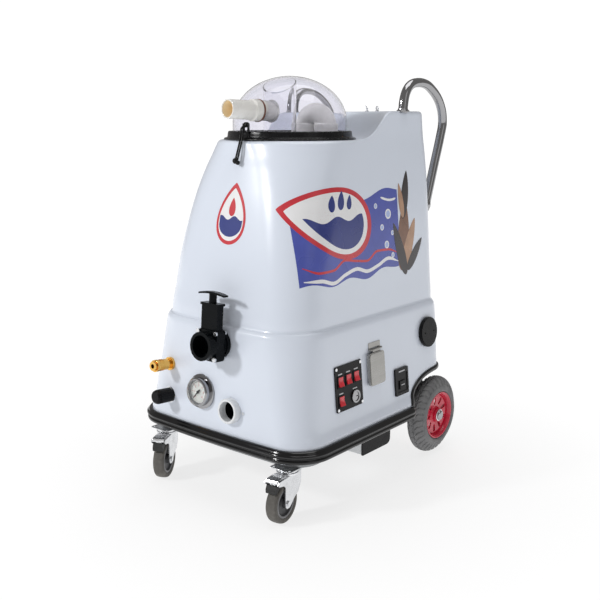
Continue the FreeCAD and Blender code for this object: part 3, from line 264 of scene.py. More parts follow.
def surface(name, color, rough, metallic=0.0, tint=0.06, mottling=14.0, grain=900.0, grain_depth=0.00004,
            rough_spread=0.08, coat=0.0, coat_rough=0.08, stretch=None, specular=0.5, edge_wear=0.0, dust=None):
    """Opaque surface with colour drift, uneven gloss and a fine grain."""
    m, nt, b = new_mat(name)
    vec = coord(nt)
    drift = noise(nt, vec, mottling, 4.0, 0.6)
    c = np.array(color, float)
    col = ramp(nt, drift, [(0.32, tuple(np.clip(c * (1 - tint), 0, 1))), (0.68, tuple(np.clip(c * (1 + tint), 0, 1)))])
    if dust is not None:
        dn = noise(nt, vec, 38.0, 6.0, 0.65)
        mixer = nt.nodes.new("ShaderNodeMix")
        mixer.data_type = "RGBA"
        nt.links.new(fit(nt, dn, 0.0, 0.55, 0.52, 0.72), mixer.inputs["Factor"])
        nt.links.new(col, mixer.inputs["A"])
        mixer.inputs["B"].default_value = (*dust, 1.0)
        col = mixer.outputs["Result"]
    nt.links.new(col, b.inputs["Base Color"])
    b.inputs["Metallic"].default_value = metallic
    b.inputs["Specular IOR Level"].default_value = specular
    gvec = coord(nt, stretch) if stretch is not None else vec
    g = noise(nt, gvec, grain, 3.0, 0.55)
    nt.links.new(fit(nt, noise(nt, gvec, grain * 0.11, 3.0, 0.5), max(rough - rough_spread, 0.02), rough + rough_spread),
                 b.inputs["Roughness"])
    bump(nt, b, g, 0.5, grain_depth)
    if coat:
        b.inputs["Coat Weight"].default_value = coat
        b.inputs["Coat Roughness"].default_value = coat_rough
    return m


def clear(name, color, rough, ior, tint=0.02):
    m, nt, b = new_mat(name)
    vec = coord(nt)
    n = noise(nt, vec, 9.0, 3.0, 0.5)
    c = np.array(color, float)
    nt.links.new(ramp(nt, n, [(0.3, tuple(np.clip(c * (1 - tint), 0, 1))), (0.7, tuple(np.clip(c * (1 + tint), 0, 1)))]),
                 b.inputs["Base Color"])
    b.inputs["Transmission Weight"].default_value = 1.0
    b.inputs["IOR"].default_value = ior
    nt.links.new(fit(nt, noise(nt, vec, 30.0), max(rough - 0.01, 0.0), rough + 0.015), b.inputs["Roughness"])
    bump(nt, b, noise(nt, vec, 26.0, 2.0), 0.12, 0.0004)
    return m


M_BODY = surface("body_polyethylene", (0.745, 0.80, 0.90), 0.30, tint=0.010, mottling=5.0, grain=55.0, grain_depth=0.00002,
                 rough_spread=0.02, coat=0.35, coat_rough=0.10)
M_BUMPER = surface("bumper_black", (0.003, 0.003, 0.004), 0.13, tint=0.25, mottling=18.0, grain=90.0, grain_depth=0.00001,
                   rough_spread=0.03, specular=0.6)
M_BLACK = surface("black_plastic", (0.004, 0.004, 0.005), 0.32, tint=0.2, grain=1300.0, grain_depth=0.00005, specular=0.16)
M_VALVE = surface("valve_black", (0.002, 0.003, 0.004), 0.26, tint=0.25, grain=900.0, grain_depth=0.00006, specular=0.10)
M_RING = surface("ring_black", (0.005, 0.005, 0.006), 0.26, tint=0.2, grain=800.0, grain_depth=0.00005, specular=0.30)
M_RUBBER = surface("tie_rubber", (0.004, 0.004, 0.004), 0.38, tint=0.2, grain=1500.0, specular=0.25)
M_CHROME = surface("handle_chrome", (0.36, 0.36, 0.37), 0.09, metallic=1.0, tint=0.08, grain=300.0, grain_depth=0.00001,
                   rough_spread=0.04)
M_ZINC = surface("bright_zinc", (0.78, 0.79, 0.81), 0.26, metallic=1.0, tint=0.08, mottling=40.0, grain=600.0,
                 grain_depth=0.00003, rough_spread=0.1)
M_STEEL = surface("brushed_stainless", (0.60, 0.595, 0.585), 0.26, metallic=1.0, tint=0.05, grain=500.0, grain_depth=0.00003,
                  stretch=(1.0, 0.06, 1.0), rough_spread=0.08)
M_STEEL_DARK = surface("brushed_stainless_dark", (0.36, 0.355, 0.34), 0.30, metallic=1.0, tint=0.06, grain=500.0, grain_depth=0.00002,
                       stretch=(1.0, 0.06, 1.0), rough_spread=0.06)
M_PAN = surface("pan_steel", (0.30, 0.31, 0.32), 0.45, metallic=1.0, tint=0.15, mottling=20.0)
M_BRASS = surface("turned_brass", (0.84, 0.50, 0.13), 0.20, metallic=1.0, tint=0.07, mottling=60.0, grain=700.0,
                  rough_spread=0.07)
M_PIPE = surface("pipe_white", (0.84, 0.83, 0.80), 0.28, tint=0.02, grain=500.0, coat=0.2)
M_CREAM = surface("pipe_inside", (0.80, 0.62, 0.36), 0.40, tint=0.05, grain=400.0)
M_PORT = surface("port_white", (0.80, 0.82, 0.84), 0.28, tint=0.02, grain=500.0, coat=0.2)
M_DIAL = surface("dial_enamel", (0.86, 0.86, 0.83), 0.45, tint=0.015, mottling=60.0)
M_INK_RED = surface("ink_red", (0.45, 0.02, 0.02), 0.5, tint=0.08, mottling=200.0)
M_INK_BLACK = surface("ink_black", (0.015, 0.015, 0.015), 0.5, tint=0.1, mottling=200.0)
M_PANEL = surface("panel_black", (0.006, 0.006, 0.007), 0.34, tint=0.15, grain=1500.0, grain_depth=0.00004, specular=0.2)
M_FRAME = surface("rocker_frame", (0.014, 0.014, 0.016), 0.28, tint=0.2, grain=1000.0)
M_ROCKER = surface("rocker_red", (0.66, 0.020, 0.035), 0.20, tint=0.18, mottling=120.0, grain=500.0, coat=0.5, coat_rough=0.06)
M_LIGHTBAR = surface("marker_bar", (0.55, 0.56, 0.58), 0.5, tint=0.08, mottling=300.0)
M_GREY = surface("inlet_grey", (0.62, 0.63, 0.65), 0.40, tint=0.03)
M_MOTOR = surface("motor_metal", (0.16, 0.17, 0.18), 0.40, metallic=0.9, tint=0.1)
M_TYRE = surface("tyre_grey", (0.20, 0.20, 0.205), 0.72, tint=0.14, mottling=30.0, grain=1400.0, grain_depth=0.0001,
                 specular=0.3, dust=(0.33, 0.33, 0.33))
M_RIM = surface("rim_crimson", (0.62, 0.012, 0.050), 0.26, tint=0.10, mottling=40.0, grain=600.0, coat=0.35, coat_rough=0.1)
M_TREAD = surface("caster_tread", (0.125, 0.118, 0.108), 0.62, tint=0.12, mottling=50.0, grain=1600.0, specular=0.3,
                  dust=(0.22, 0.21, 0.19))
M_CORE = surface("caster_core", (0.055, 0.056, 0.060), 0.42, tint=0.12, mottling=60.0)
M_CORE_LIGHT = surface("caster_core_ring", (0.22, 0.22, 0.23), 0.45, tint=0.10, mottling=60.0)
M_SHOE = surface("brake_shoe", (0.02, 0.02, 0.02), 0.6, tint=0.2)
M_SEAL = surface("seal_tan", (0.16, 0.060, 0.040), 0.6, tint=0.12, mottling=80.0)
M_DOME = clear("dome_clear", (0.905, 0.900, 0.945), 0.010, 1.42)
M_TUBE = clear("tube_clear", (0.95, 0.95, 0.97), 0.015, 1.34)
M_LENS = clear("gauge_glass", (0.97, 0.98, 0.98), 0.01, 1.25)
M_SLOT = surface("dark_slot", (0.006, 0.006, 0.006), 0.7, tint=0.2)


# ------------------------------------------------------------------ mesh tools
def make(name, verts, faces, mat, body, slot=None, replaces=(), sharp=None, smooth=True, stage=False):
    me = bpy.data.meshes.new(name)
    me.from_pydata([tuple(map(float, v)) for v in verts], [], [tuple(int(i) for i in f) for f in faces])
    me.validate()
    me.update()
    for m in (mat if isinstance(mat, (list, tuple)) else [mat]):
        me.materials.append(m)
    ob = bpy.data.objects.new(name, me)
    bpy.context.scene.collection.objects.link(ob)
    me.polygons.foreach_set("use_smooth", [smooth] * len(me.polygons))
    if sharp is not None:
        me.set_sharp_from_angle(angle=math.radians(sharp))
    if stage:
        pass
    else:
        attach(ob, body)
        if replaces:
            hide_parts(*replaces)
    return ob


def grid_faces(nu, nv, closed_u=True, flip=False, start=0):
    """Faces of nv rings of nu points each."""
    out = []
    for j in range(nv - 1):
        for i in range(nu if closed_u else nu - 1):
            k = (i + 1) % nu
            f = (start + j * nu + i, start + j * nu + k, start + (j + 1) * nu + k, start + (j + 1) * nu + i)
            out.append(f[::-1] if flip else f)
    return out


def rings_mesh(rings, cap_start=False, cap_end=False, flip=False, loop=False):
    rings = [np.asarray(r, float) for r in rings]
    nu = len(rings[0])
    verts = list(np.concatenate(rings))
    faces = grid_faces(nu, len(rings), True, flip)
    if loop:
        base = (len(rings) - 1) * nu
        for i in range(nu):
            k = (i + 1) % nu
            f = (base + i, base + k, k, i)
            faces.append(f[::-1] if flip else f)
    for want, idx, rev in ((cap_start, 0, True), (cap_end, len(rings) - 1, False)):
        if want:
            f = tuple(range(idx * nu, idx * nu + nu))
            f = f[::-1] if rev else f
            faces.append(f[::-1] if flip else f)
    return verts, faces


def fillet(points, radii, seg=5, closed=False):
    """Rounds the corners of a polyline."""
    pts = [np.array(p, float) for p in points]
    n = len(pts)
    if np.isscalar(radii):
        radii = [radii] * n
    out = []
    for i in range(n):
        if not closed and i in (0, n - 1):
            out.append(pts[i])
            continue
        a, b, c = pts[i - 1], pts[i], pts[(i + 1) % n]
        r = radii[i]
        u, v = a - b, c - b
        lu, lv = np.linalg.norm(u), np.linalg.norm(v)
        if r <= 0 or lu < 1e-6 or lv < 1e-6:
            out.append(b)
            continue
        u, v = u / lu, v / lv
        t = min(r, lu * 0.48, lv * 0.48)
        for k in range(seg + 1):
            s = k / seg
            out.append((1 - s) ** 2 * (b + u * t) + 2 * s * (1 - s) * b + s ** 2 * (b + v * t))
    return out


def revolve(name, profile, matrix, mat, body, axis="Z", seg=96, radius=0.0, closed=True, **kw):
    """profile: (distance from axis, position along axis) points in mm."""
    pts = fillet(profile, radius, 4, closed) if radius else [np.array(p, float) for p in profile]
    rings = []
    for r, h in pts:
        a = np.linspace(0, 2 * math.pi, seg, endpoint=False)
        c, s = r * np.cos(a), r * np.sin(a)
        hh = np.full(seg, h)
        rings.append(np.stack({"Z": (c, s, hh), "Y": (c, hh, -s), "X": (hh, c, s)}[axis], axis=1))
    v, f = rings_mesh(rings, loop=closed)
    return place(name, v, f, matrix, mat, body, **kw)


def place(name, verts, faces, matrix, mat, body, fix=True, **kw):
    vs = [matrix @ Vector(p) for p in verts]
    ob = make(name, vs, faces, mat, body, **kw)
    if fix:
        recalc(ob)
    return ob


def recalc(ob):
    bm = bmesh.new()
    bm.from_mesh(ob.data)
    bmesh.ops.recalc_face_normals(bm, faces=bm.faces)
    bm.to_mesh(ob.data)
    bm.free()
    ob.data.update()


def boolean(ob, cutter):
    """Cuts cutter out of ob and bakes the result into ob's mesh."""
    m = ob.modifiers.new("cut", "BOOLEAN")
    m.operation = "DIFFERENCE"
    m.solver = "EXACT"
    m.object = cutter
    dg = bpy.context.evaluated_depsgraph_get()
    me = bpy.data.meshes.new_from_object(ob.evaluated_get(dg))
    ob.modifiers.remove(m)
    old = ob.data
    ob.data = me
    bpy.data.meshes.remove(old)
    cm = cutter.data
    bpy.data.objects.remove(cutter)
    bpy.data.meshes.remove(cm)


def raw_object(verts, faces):
    me = bpy.data.meshes.new("tool")
    me.from_pydata([tuple(map(float, v)) for v in verts], [], [tuple(f) for f in faces])
    bm = bmesh.new()
    bm.from_mesh(me)
    bmesh.ops.recalc_face_normals(bm, faces=bm.faces)
    bm.to_mesh(me)
    bm.free()
    ob = bpy.data.objects.new("tool", me)
    bpy.context.scene.collection.objects.link(ob)
    return ob


def drum(r, matrix, axis, a, b, seg=64):
    t = np.linspace(0, 2 * math.pi, seg, endpoint=False)
    c, s = r * np.cos(t), r * np.sin(t)
    rings = []
    for h in (a, b):
        hh = np.full(seg, h)
        rings.append(np.stack({"Z": (c, s, hh), "Y": (c, hh, -s), "X": (hh, c, s)}[axis], axis=1))
    v, f = rings_mesh(rings, True, True)
    return [matrix @ Vector(p) for p in v], f


def block(x0, y0, z0, x1, y1, z1, matrix):
    v = [(x, y, z) for z in (z0, z1) for y in (y0, y1) for x in (x0, x1)]
    f = [(0, 2, 3, 1), (4, 5, 7, 6), (0, 1, 5, 4), (2, 6, 7, 3), (0, 4, 6, 2), (1, 3, 7, 5)]
    return [matrix @ Vector(p) for p in v], f


def join_raw(parts):
    V, F = [], []
    for v, f in parts:
        n = len(V)
        V += list(v)
        F += [tuple(i + n for i in q) for q in f]
    return V, F


def sweep(name, path, radius, mat, body, seg=24, cap=True, **kw):
    """Round tube along a list of points in metres; radius in metres or a list."""
    P = np.array(path, float)
    n = len(P)
    R = np.full(n, radius) if np.isscalar(radius) else np.array(radius, float)
    T = np.gradient(P, axis=0)
    T /= np.linalg.norm(T, axis=1)[:, None]
    ref = np.array([1.0, 0, 0]) if abs(T[0][0]) < 0.9 else np.array([0, 1.0, 0])
    nrm = np.cross(T[0], ref)
    nrm /= np.linalg.norm(nrm)
    rings = []
    a = np.linspace(0, 2 * math.pi, seg, endpoint=False)
    for i in range(n):
        nrm = nrm - T[i] * np.dot(nrm, T[i])
        nrm /= np.linalg.norm(nrm)
        bn = np.cross(T[i], nrm)
        rings.append(P[i] + R[i] * (np.outer(np.cos(a), nrm) + np.outer(np.sin(a), bn)))
    v, f = rings_mesh(rings, cap, cap)
    ob = make(name, v, f, mat, body, **kw)
    recalc(ob)
    return ob


def bent(points, radii, step=3.0):
    """Straight runs with tangent arcs, sampled; mm in, mm out."""
    pts = [np.array(p, float) for p in points]
    out = [pts[0]]
    for i in range(1, len(pts) - 1):
        a, b, c = pts[i - 1], pts[i], pts[i + 1]
        d0, d1 = (a - b) / np.linalg.norm(a - b), (c - b) / np.linalg.norm(c - b)
        half = math.acos(float(np.clip(np.dot(d0, d1), -1, 1))) / 2
        r = radii[i - 1]
        t = r / math.tan(half)
        p0, p1 = b + d0 * t, b + d1 * t
        bis = (d0 + d1) / np.linalg.norm(d0 + d1)
        cen = b + bis * r / math.sin(half)
        e0 = (p0 - cen) / r
        tot = math.pi - 2 * half
        e1 = (p1 - cen) / r
        e1 = e1 - e0 * np.dot(e0, e1)
        e1 /= np.linalg.norm(e1)
        k = max(6, int(r * tot / step))
        out += [cen + r * (math.cos(tot * j / k) * e0 + math.sin(tot * j / k) * e1) for j in range(k + 1)]
    out.append(pts[-1])
    fine = [out[0]]
    for a, b in zip(out, out[1:]):
        m = max(1, int(np.linalg.norm(b - a) / (step * 4)))
        fine += [a + (b - a) * (j + 1) / m for j in range(m)]
    return np.array(fine)


def dress(node, mat, width=0.8, angle=32.0, segments=2):
    """A carried-over node gets a material and fine rounded edges."""
    ob = frame["nodes"][node]
    for s in ob.material_slots:
        s.material = mat
    if not ob.material_slots:
        ob.data.materials.append(mat)
    w = ob.modifiers.new("weld", "WELD")
    w.merge_threshold = 0.00001
    if width:
        b = ob.modifiers.new("edges", "BEVEL")
        b.width = width * MM
        b.segments = segments
        b.limit_method = "ANGLE"
        b.angle_limit = math.radians(angle)
        b.use_clamp_overlap = True
        b.harden_normals = False
        b.miter_outer = "MITER_ARC"
    ob.data.polygons.foreach_set("use_smooth", [True] * len(ob.data.polygons))
    n = ob.modifiers.new("normals", "WEIGHTED_NORMAL")
    n.keep_sharp = False
    n.weight = 60
    return ob


ID = plain_matrix()

# ------------------------------------------------------------------ base housing
rows = []
zs = np.concatenate([[150.0, 151.5, 156.0], np.linspace(162, 184, 8), np.linspace(186, 228, 22), np.linspace(236, 424, 40),
                     np.linspace(427, 446, 14)])
for z in zs:
    off = 1.5 if z == 150.0 else 0.0
    x, y = wall(BASE_SEC, z, off)
    rows.append(ring3(x, y, z))
x, y = wall(BASE_SEC, 446.0, 3.0)
rows.append(ring3(x, y, 447.0))
for off, z in ((8.0, 446.5), (30.0, 446.0), (32.0, 445.0), (32.0, 440.0), (24.0, 440.0), (6.0, 438.0)):
    x, y = wall(BASE_SEC, 438.0, off)
    rows.append(ring3(x, y, z))
for z in np.linspace(430, 150, 24):
    x, y = wall(BASE_SEC, z, WALL)
    rows.append(ring3(x, y, z))
v, f = rings_mesh(rows, loop=True)
base = make("base_shell", [world(p) for p in v], f, M_BODY, "chassis", slot="body_plastic", replaces=("base_housing",))
recalc(base)

ARCH = np.array([(98.5, 96.0), (98.5, 150.0), (99.5, 185.0), (111.0, 211.0), (141.0, 233.0), (187.0, 246.5), (240.0, 251.0),
                 (330.0, 252.0)])


def arch_curve(off=0.0, zmin=96.0, ymax=340.0, n=90):
    """Dense smooth curve of the wheel opening, moved outwards by off."""
    P = ARCH.copy()
    t = np.concatenate([[0], np.cumsum(np.linalg.norm(np.diff(P, axis=0), axis=1))])
    tt = np.linspace(0, t[-1], n)
    y, z = pchip(t, P[:, 0], tt), pchip(t, P[:, 1], tt)
    for _ in range(10):
        y[1:-1] = 0.25 * y[:-2] + 0.5 * y[1:-1] + 0.25 * y[2:]
        z[1:-1] = 0.25 * z[:-2] + 0.5 * z[1:-1] + 0.25 * z[2:]
    ty, tz = np.gradient(y), np.gradient(z)
    L = np.hypot(ty, tz)
    y, z = y - off * tz / L, z + off * ty / L
    return y, z


def arch_prism(off, x0, x1, ymax=345.0, zmin=90.0):
    y, z = arch_curve(off)
    keep = (y < ymax)
    y, z = y[keep], z[keep]
    loop = [(y[0], zmin)] + list(zip(y, z)) + [(ymax, z[-1]), (ymax, zmin)]
    a = [(x0, p, q) for p, q in loop]
    b = [(x1, p, q) for p, q in loop]
    v, f = rings_mesh([a, b], True, True)
    return [ID @ Vector(p) for p in v], f


tools = [arch_prism(0.0, WELL_X - 4.2, 330.0), arch_prism(0.0, -330.0, -(WELL_X - 4.2))]
for r, fx, fz in ((35.2, 16.5, 403.5), (9.7, -165.0, 320.0), (9.7, -163.0, 238.0), (31.7, -42.0, 272.0), (28.2, 60.0, 244.0)):
    tools.append(drum(r, front_matrix(fx, fz), "Y", -20.0, 40.0))
SP = side_matrix(-173.5, 300.0)
ROCKERS = [(-33.5, 17.0), (-1.5, 17.5), (30.5, 18.0), (-33.5, -31.0)]
for ry, rz in ROCKERS:
    tools.append(block(-14, ry - 11.6, rz - 14.2, 14, ry + 11.6, rz + 14.2, SP))
KEY = (22.5, -31.0)
t_key = drum(13.6, SP @ Matrix.Translation((0, KEY[0], KEY[1])), "X", -14, 14)
tools.append(t_key)
tools.append(drum(26.4, side_matrix(-62.0, 326.0), "X", -20, 20))
tools.append(block(-20, -26.4, -28.4, 20, 26.4, 28.4, side_matrix(55.5, 258.5)))
tools.append(drum(34.3, side_matrix(193.0, 366.0), "X", -20, 20))
boolean(base, raw_object(*join_raw(tools)))
base.data.set_sharp_from_angle(angle=math.radians(38))

# ------------------------------------------------------------------ tank housing
lo, hi = np.full(NU, 880.0), np.full(NU, 960.0)
for _ in range(32):
    mid = 0.5 * (lo + hi)
    x, y = wall(TANK_SEC, mid)
    g = top_z(np.hypot(x, y - RING_Y)) - mid
    lo, hi = np.where(g > 0, mid, lo), np.where(g > 0, hi, mid)
ztop = smooth_ring(0.5 * (lo + hi), 4)
EDGE = 11.0
rows = []
for off, z in ((44.0, 446.2), (6.0, 446.2), (-4.6, 446.35), (-3.2, 447.2), (-2.0, 448.6), (-1.1, 450.2)):
    x, y = wall(TANK_SEC, z, off)
    rows.append(ring3(x, y, z))
for t in np.concatenate([[0.0, 0.006, 0.013], np.linspace(0.02, 1, 76)]):
    z = 452.0 + t * (ztop - EDGE - 452.0)
    x, y = wall(TANK_SEC, z)
    rows.append(ring3(x, y, z))
ax, ay = wall(TANK_SEC, ztop - EDGE)
cx, cy = wall(TANK_SEC, ztop)
bx, by = wall(TANK_SEC, ztop, EDGE)
bz = top_z(np.hypot(bx, by - RING_Y))
for t in np.linspace(0.1, 1, 9):
    q = [(1 - t) ** 2, 2 * t * (1 - t), t ** 2]
    rows.append(np.stack([q[0] * ax + q[1] * cx + q[2] * bx, q[0] * ay + q[1] * cy + q[2] * by,
                          q[0] * (ztop - EDGE) + q[1] * ztop + q[2] * bz], axis=1))
dx, dy = bx, by - RING_Y
dr = np.hypot(dx, dy)
ux, uy = dx / dr, dy / dr
for t in np.linspace(0.02, 1, 64):
    r = dr + (141.0 - dr) * t
    rows.append(np.stack([ux * r, RING_Y + uy * r, top_z(r)], axis=1))
for r, z in ((139.4, 887.6), (139.0, 886.8), (139.0, 883.4), (139.4, 882.4), (141.0, 882.0)):
    rows.append(np.stack([ux * r, RING_Y + uy * r, np.full(NU, z)], axis=1))
ix, iy = wall(TANK_SEC, ztop - WALL, WALL + 1)
ir = np.hypot(ix, iy - RING_Y)
vx, vy = ix / ir, (iy - RING_Y) / ir
for t in np.linspace(0.04, 1, 26):
    r = 141.0 + (ir - 141.0) * t
    uxx, uyy = ux + (vx - ux) * t, uy + (vy - uy) * t
    rows.append(np.stack([uxx * r, RING_Y + uyy * r, np.minimum(top_z(np.maximum(r - 5, 0)) - WALL, ztop - WALL)], axis=1))
for t in np.linspace(0.03, 1, 22):
    z = ztop - WALL + t * (452.0 - ztop + WALL)
    x, y = wall(TANK_SEC, z, WALL + 1)
    rows.append(ring3(x, y, z))
v, f = rings_mesh(rows, cap_start=False, cap_end=True)
tank = make("tank_shell", [world(p) for p in v], f, M_BODY, "chassis", slot="body_plastic", replaces=("tank_housing",))
recalc(tank)
tank.data.set_sharp_from_angle(angle=math.radians(60))

# ------------------------------------------------------------------ bumper strip
BUMP = [(0.0, 180.6), (2.5, 181.6), (6.5, 181.2), (9.6, 178.8), (11.0, 176.0), (12.6, 174.2), (14.6, 172.8), (15.6, 170.4), (15.4, 167.6),
        (13.6, 165.8), (11.2, 164.6), (10.4, 162.9), (11.2, 161.2), (13.0, 159.8), (13.9, 157.0), (13.4, 153.6), (11.2, 151.2),
        (7.0, 150.2), (0.0, 150.0)]
prof = fillet(BUMP, 1.2, 3)


def bumper_path():
    w, f0, rf, bow = 284.8, -378.3, 84.3, 5.0
    pts = [(w, 99.0 - i * 6.0) for i in range(int((99.0 - (f0 + bow + rf)) / 6.0))]
    for a in np.linspace(0, math.pi / 2, 36):
        pts.append((w - rf + rf * math.cos(a), f0 + bow + rf - rf * math.sin(a)))
    xf = w - rf
    for x in np.linspace(xf, -xf, 60)[1:-1]:
        pts.append((x, f0 + bow * (x / xf) ** 2))
    half = pts
    left = [(-x, y) for x, y in reversed([p for p in half if p[0] > 0 and not (abs(p[0]) < xf - 1e-6)])]
    return np.array(half + left)


bp = bumper_path()
for _ in range(4):
    bp[1:-1] = 0.25 * bp[:-2] + 0.5 * bp[1:-1] + 0.25 * bp[2:]
tg = np.gradient(bp, axis=0)
tg /= np.linalg.norm(tg, axis=1)[:, None]
nrm = np.stack([-tg[:, 1], tg[:, 0]], axis=1)
if nrm[5][0] < 0:
    nrm = -nrm
rings = []
n = len(bp)
for i in range(n):
    e = min(i, n - 1 - i)
    k = 1.0 if e > 2 else (0.55, 0.82, 0.95)[e]
    rings.append([(bp[i][0] + nrm[i][0] * o * k, bp[i][1] + nrm[i][1] * o * k, 165.3 + (z - 165.3) * (1.0 if e > 1 else (0.86, 0.96)[e]))
                  for o, z in prof])
verts = [world(p) for r in rings for p in r]
m = len(prof)
faces = grid_faces(m, n, True)
faces += [tuple(range(m))[::-1], tuple(range((n - 1) * m, n * m))]
bump_ob = make("bumper_extrusion", verts, faces, M_BUMPER, "chassis", slot="bumper_rubber", replaces=("bumper_strip",), sharp=50)
recalc(bump_ob)

# ------------------------------------------------------------------ wheel arches
parts = []
for s in (1, -1):
    y, z = arch_curve(0.0)
    y2, z2 = arch_curve(4.0)
    keep = (y < 281.5) & (z > 150.3)
    yk, zk, y2k, z2k = y[keep], z[keep], y2[keep], z2[keep]
    wout = np.interp(zk, BASE_SEC[:, 0], BASE_SEC[:, 1]) - 1.0
    ec = np.clip((yk - (284.0 - REAR_R)) / REAR_R, 0.0, 0.985)
    wout = np.maximum(wout - REAR_R + REAR_R * np.sqrt(1 - ec ** 2) - 1.5 * (ec > 0), WELL_X + 1.0)
    inner = [(s * WELL_X, p, q) for p, q in zip(yk, zk)]
    outer = [(s * w, p, q) for w, p, q in zip(wout, yk, zk)]
    outer2 = [(s * (w - 0.6), p, q) for w, p, q in zip(wout, y2k, z2k)]
    inner2 = [(s * WELL_X, p, q) for p, q in zip(y2k, z2k)]
    k = len(yk)
    v = inner + outer + outer2 + inner2
    f = [(i + a * k, i + 1 + a * k, i + 1 + ((a + 1) % 4) * k, i + ((a + 1) % 4) * k) for i in range(k - 1) for a in range(4)]
    f += [(0, k, 2 * k, 3 * k), (k - 1, 2 * k - 1, 3 * k - 1, 4 * k - 1)]
    parts.append(([ID @ Vector(p) for p in v], f))
    loop = [(y[keep][0], 150.3)] + list(zip(yk, zk)) + [(282.0, zk[-1]), (282.0, 150.3)]
    loop = [q for q in loop if q[0] <= 283.0]
    a = [(s * (WELL_X - 4.0), p, q) for p, q in loop]
    b = [(s * WELL_X, p, q) for p, q in loop]
    v, f = rings_mesh([a, b], True, True)
    parts.append(([ID @ Vector(p) for p in v], f))
liners = make("wheel_arch_lining", *join_raw(parts), M_BLACK, "chassis", slot="black_plastic", replaces=("wheel_arch_liners",),
              sharp=40)
recalc(liners)
for s, nm in ((1, "right"), (-1, "left")):
    y, z = arch_curve(5.5)
    keep = (z > 180.0)
    y, z = y[keep], z[keep]
    pts = []
    for p, q in zip(y, z):
        w = float(np.interp(q, BASE_SEC[:, 0], BASE_SEC[:, 1]))
        b = 284.6
        if p > b - REAR_R:
            e = min((p - (b - REAR_R)) / REAR_R, 0.999)
            w = w - REAR_R + REAR_R * math.sqrt(max(1 - e * e, 0))
            if p > b - 3.0:
                break
        pts.append((s * (w + 0.4), p, q))
    P = np.array(pts)
    T = np.gradient(P, axis=0)
    T /= np.linalg.norm(T, axis=1)[:, None]
    out = []
    for i, p in enumerate(P):
        e = min((p[1] - (284.6 - REAR_R)) / REAR_R, 0.999) if p[1] > 284.6 - REAR_R else 0.0
        nx = np.array([s * math.sqrt(1 - e * e), e, 0.09])
        nx -= T[i] * np.dot(nx, T[i])
        nx /= np.linalg.norm(nx)
        side = np.cross(nx, T[i])
        ring = []
        for a in np.linspace(0, 2 * math.pi, 24, endpoint=False):
            c, d = math.cos(a), math.sin(a)
            ring.append(p + side * 6.4 * np.sign(c) * abs(c) ** 0.75 + nx * (4.2 * d if d > 0 else 2.4 * d))
        out.append(ring)
    v, f = rings_mesh(out, True, True)
    trim = make("arch_trim_" + nm, [ID @ Vector(p) for p in v], f, M_BUMPER, "chassis", slot="bumper_rubber", sharp=60)
    recalc(trim)

# ------------------------------------------------------------------ dome lid, ring, pipes
ringm = Matrix.Translation(Vector(world((0, RING_Y, 0)))) @ Matrix.Scale(MM, 4)
revolve("lid_ring_body", [(147.3, 888.4), (169.0, 888.3), (170.2, 889.2), (170.2, 891.6), (168.8, 892.9), (162.6, 894.4), (161.0, 896.4),
                          (160.2, 903.0), (159.2, 908.4), (157.2, 910.0), (148.4, 910.2), (147.3, 909.0)],
        ringm, M_RING, "lid", seg=200, radius=0.9, slot="ring_black", replaces=("lid_ring",), sharp=60)
TIE_X = -4.0
LUG = [block(TIE_X - 9, -243.5, 909.0, TIE_X - 6.8, -235.5, 929.5, ID), block(TIE_X + 6.8, -243.5, 909.0, TIE_X + 9, -235.5, 929.5, ID),
       block(TIE_X - 9, -241.2, 902.0, TIE_X + 9, -236.0, 910.2, ID)]
lug = make("lid_ring_lug", *join_raw(LUG), M_RING, "lid", slot="ring_black", smooth=True)
bv = lug.modifiers.new("edges", "BEVEL")
bv.width, bv.segments = 0.0010, 3


def dome_points(r, z0, skirt, h, n=56):
    pts = [(r, z0), (r, skirt)]
    for i in range(1, n):
        a = 0.5 * math.pi * i / n
        pts.append((r * math.cos(a), skirt + h * math.sin(a)))
    return pts


out = dome_points(147.0, 892.0, 930.0, 117.0)
inn = dome_points(143.0, 892.0, 930.0, 113.0)
seg = 160
a = np.linspace(0, 2 * math.pi, seg, endpoint=False)
ringset = [np.stack([r * np.cos(a), RING_Y + r * np.sin(a), np.full(seg, z)], axis=1) for r, z in out]
ringset2 = [np.stack([r * np.cos(a), RING_Y + r * np.sin(a), np.full(seg, z)], axis=1) for r, z in inn]
V = [p for r in ringset for p in r] + [(0, RING_Y, 1047.0)]
na = len(V)
F = grid_faces(seg, len(ringset), True)
top = na - 1
b0 = (len(ringset) - 1) * seg
F += [(b0 + i, b0 + (i + 1) % seg, top) for i in range(seg)]
V += [p for r in ringset2 for p in r] + [(0, RING_Y, 1043.0)]
F += grid_faces(seg, len(ringset2), True, True, na)
b1 = na + (len(ringset2) - 1) * seg
F += [(b1 + (i + 1) % seg, b1 + i, len(V) - 1) for i in range(seg)]
F += [(i, na + i, na + (i + 1) % seg, (i + 1) % seg) for i in range(seg)]
dome = make("dome_shell", [world(p) for p in V], F, M_DOME, "lid", slot="clear_acrylic", replaces=("dome_lid",))
recalc(dome)
INLET = (Matrix.Translation(Vector(world((18.0, -221.0, 960.0)))) @ Matrix.Rotation(math.radians(-6.0), 4, "Z")
         @ Matrix.Rotation(math.radians(-2.0), 4, "X") @ Matrix.Scale(MM, 4))
boolean(dome, raw_object(*drum(21.6, INLET, "Y", -40, 22, 96)))
dome.data.set_sharp_from_angle(angle=math.radians(30))
revolve("inlet_cuff_pipe", [(19.8, -96.0), (22.6, -96.0), (23.0, -95.0), (23.0, -26.0), (23.8, -22.4), (26.0, -20.6), (26.4, -19.6),
                            (26.6, -2.0), (24.2, -1.0), (24.2, 2.0), (19.5, 2.0), (19.5, -95.0)], INLET, M_PIPE, "lid", axis="Y", seg=96,
        radius=0.5, slot="pipe_white", replaces=("inlet_cuff",), sharp=60)
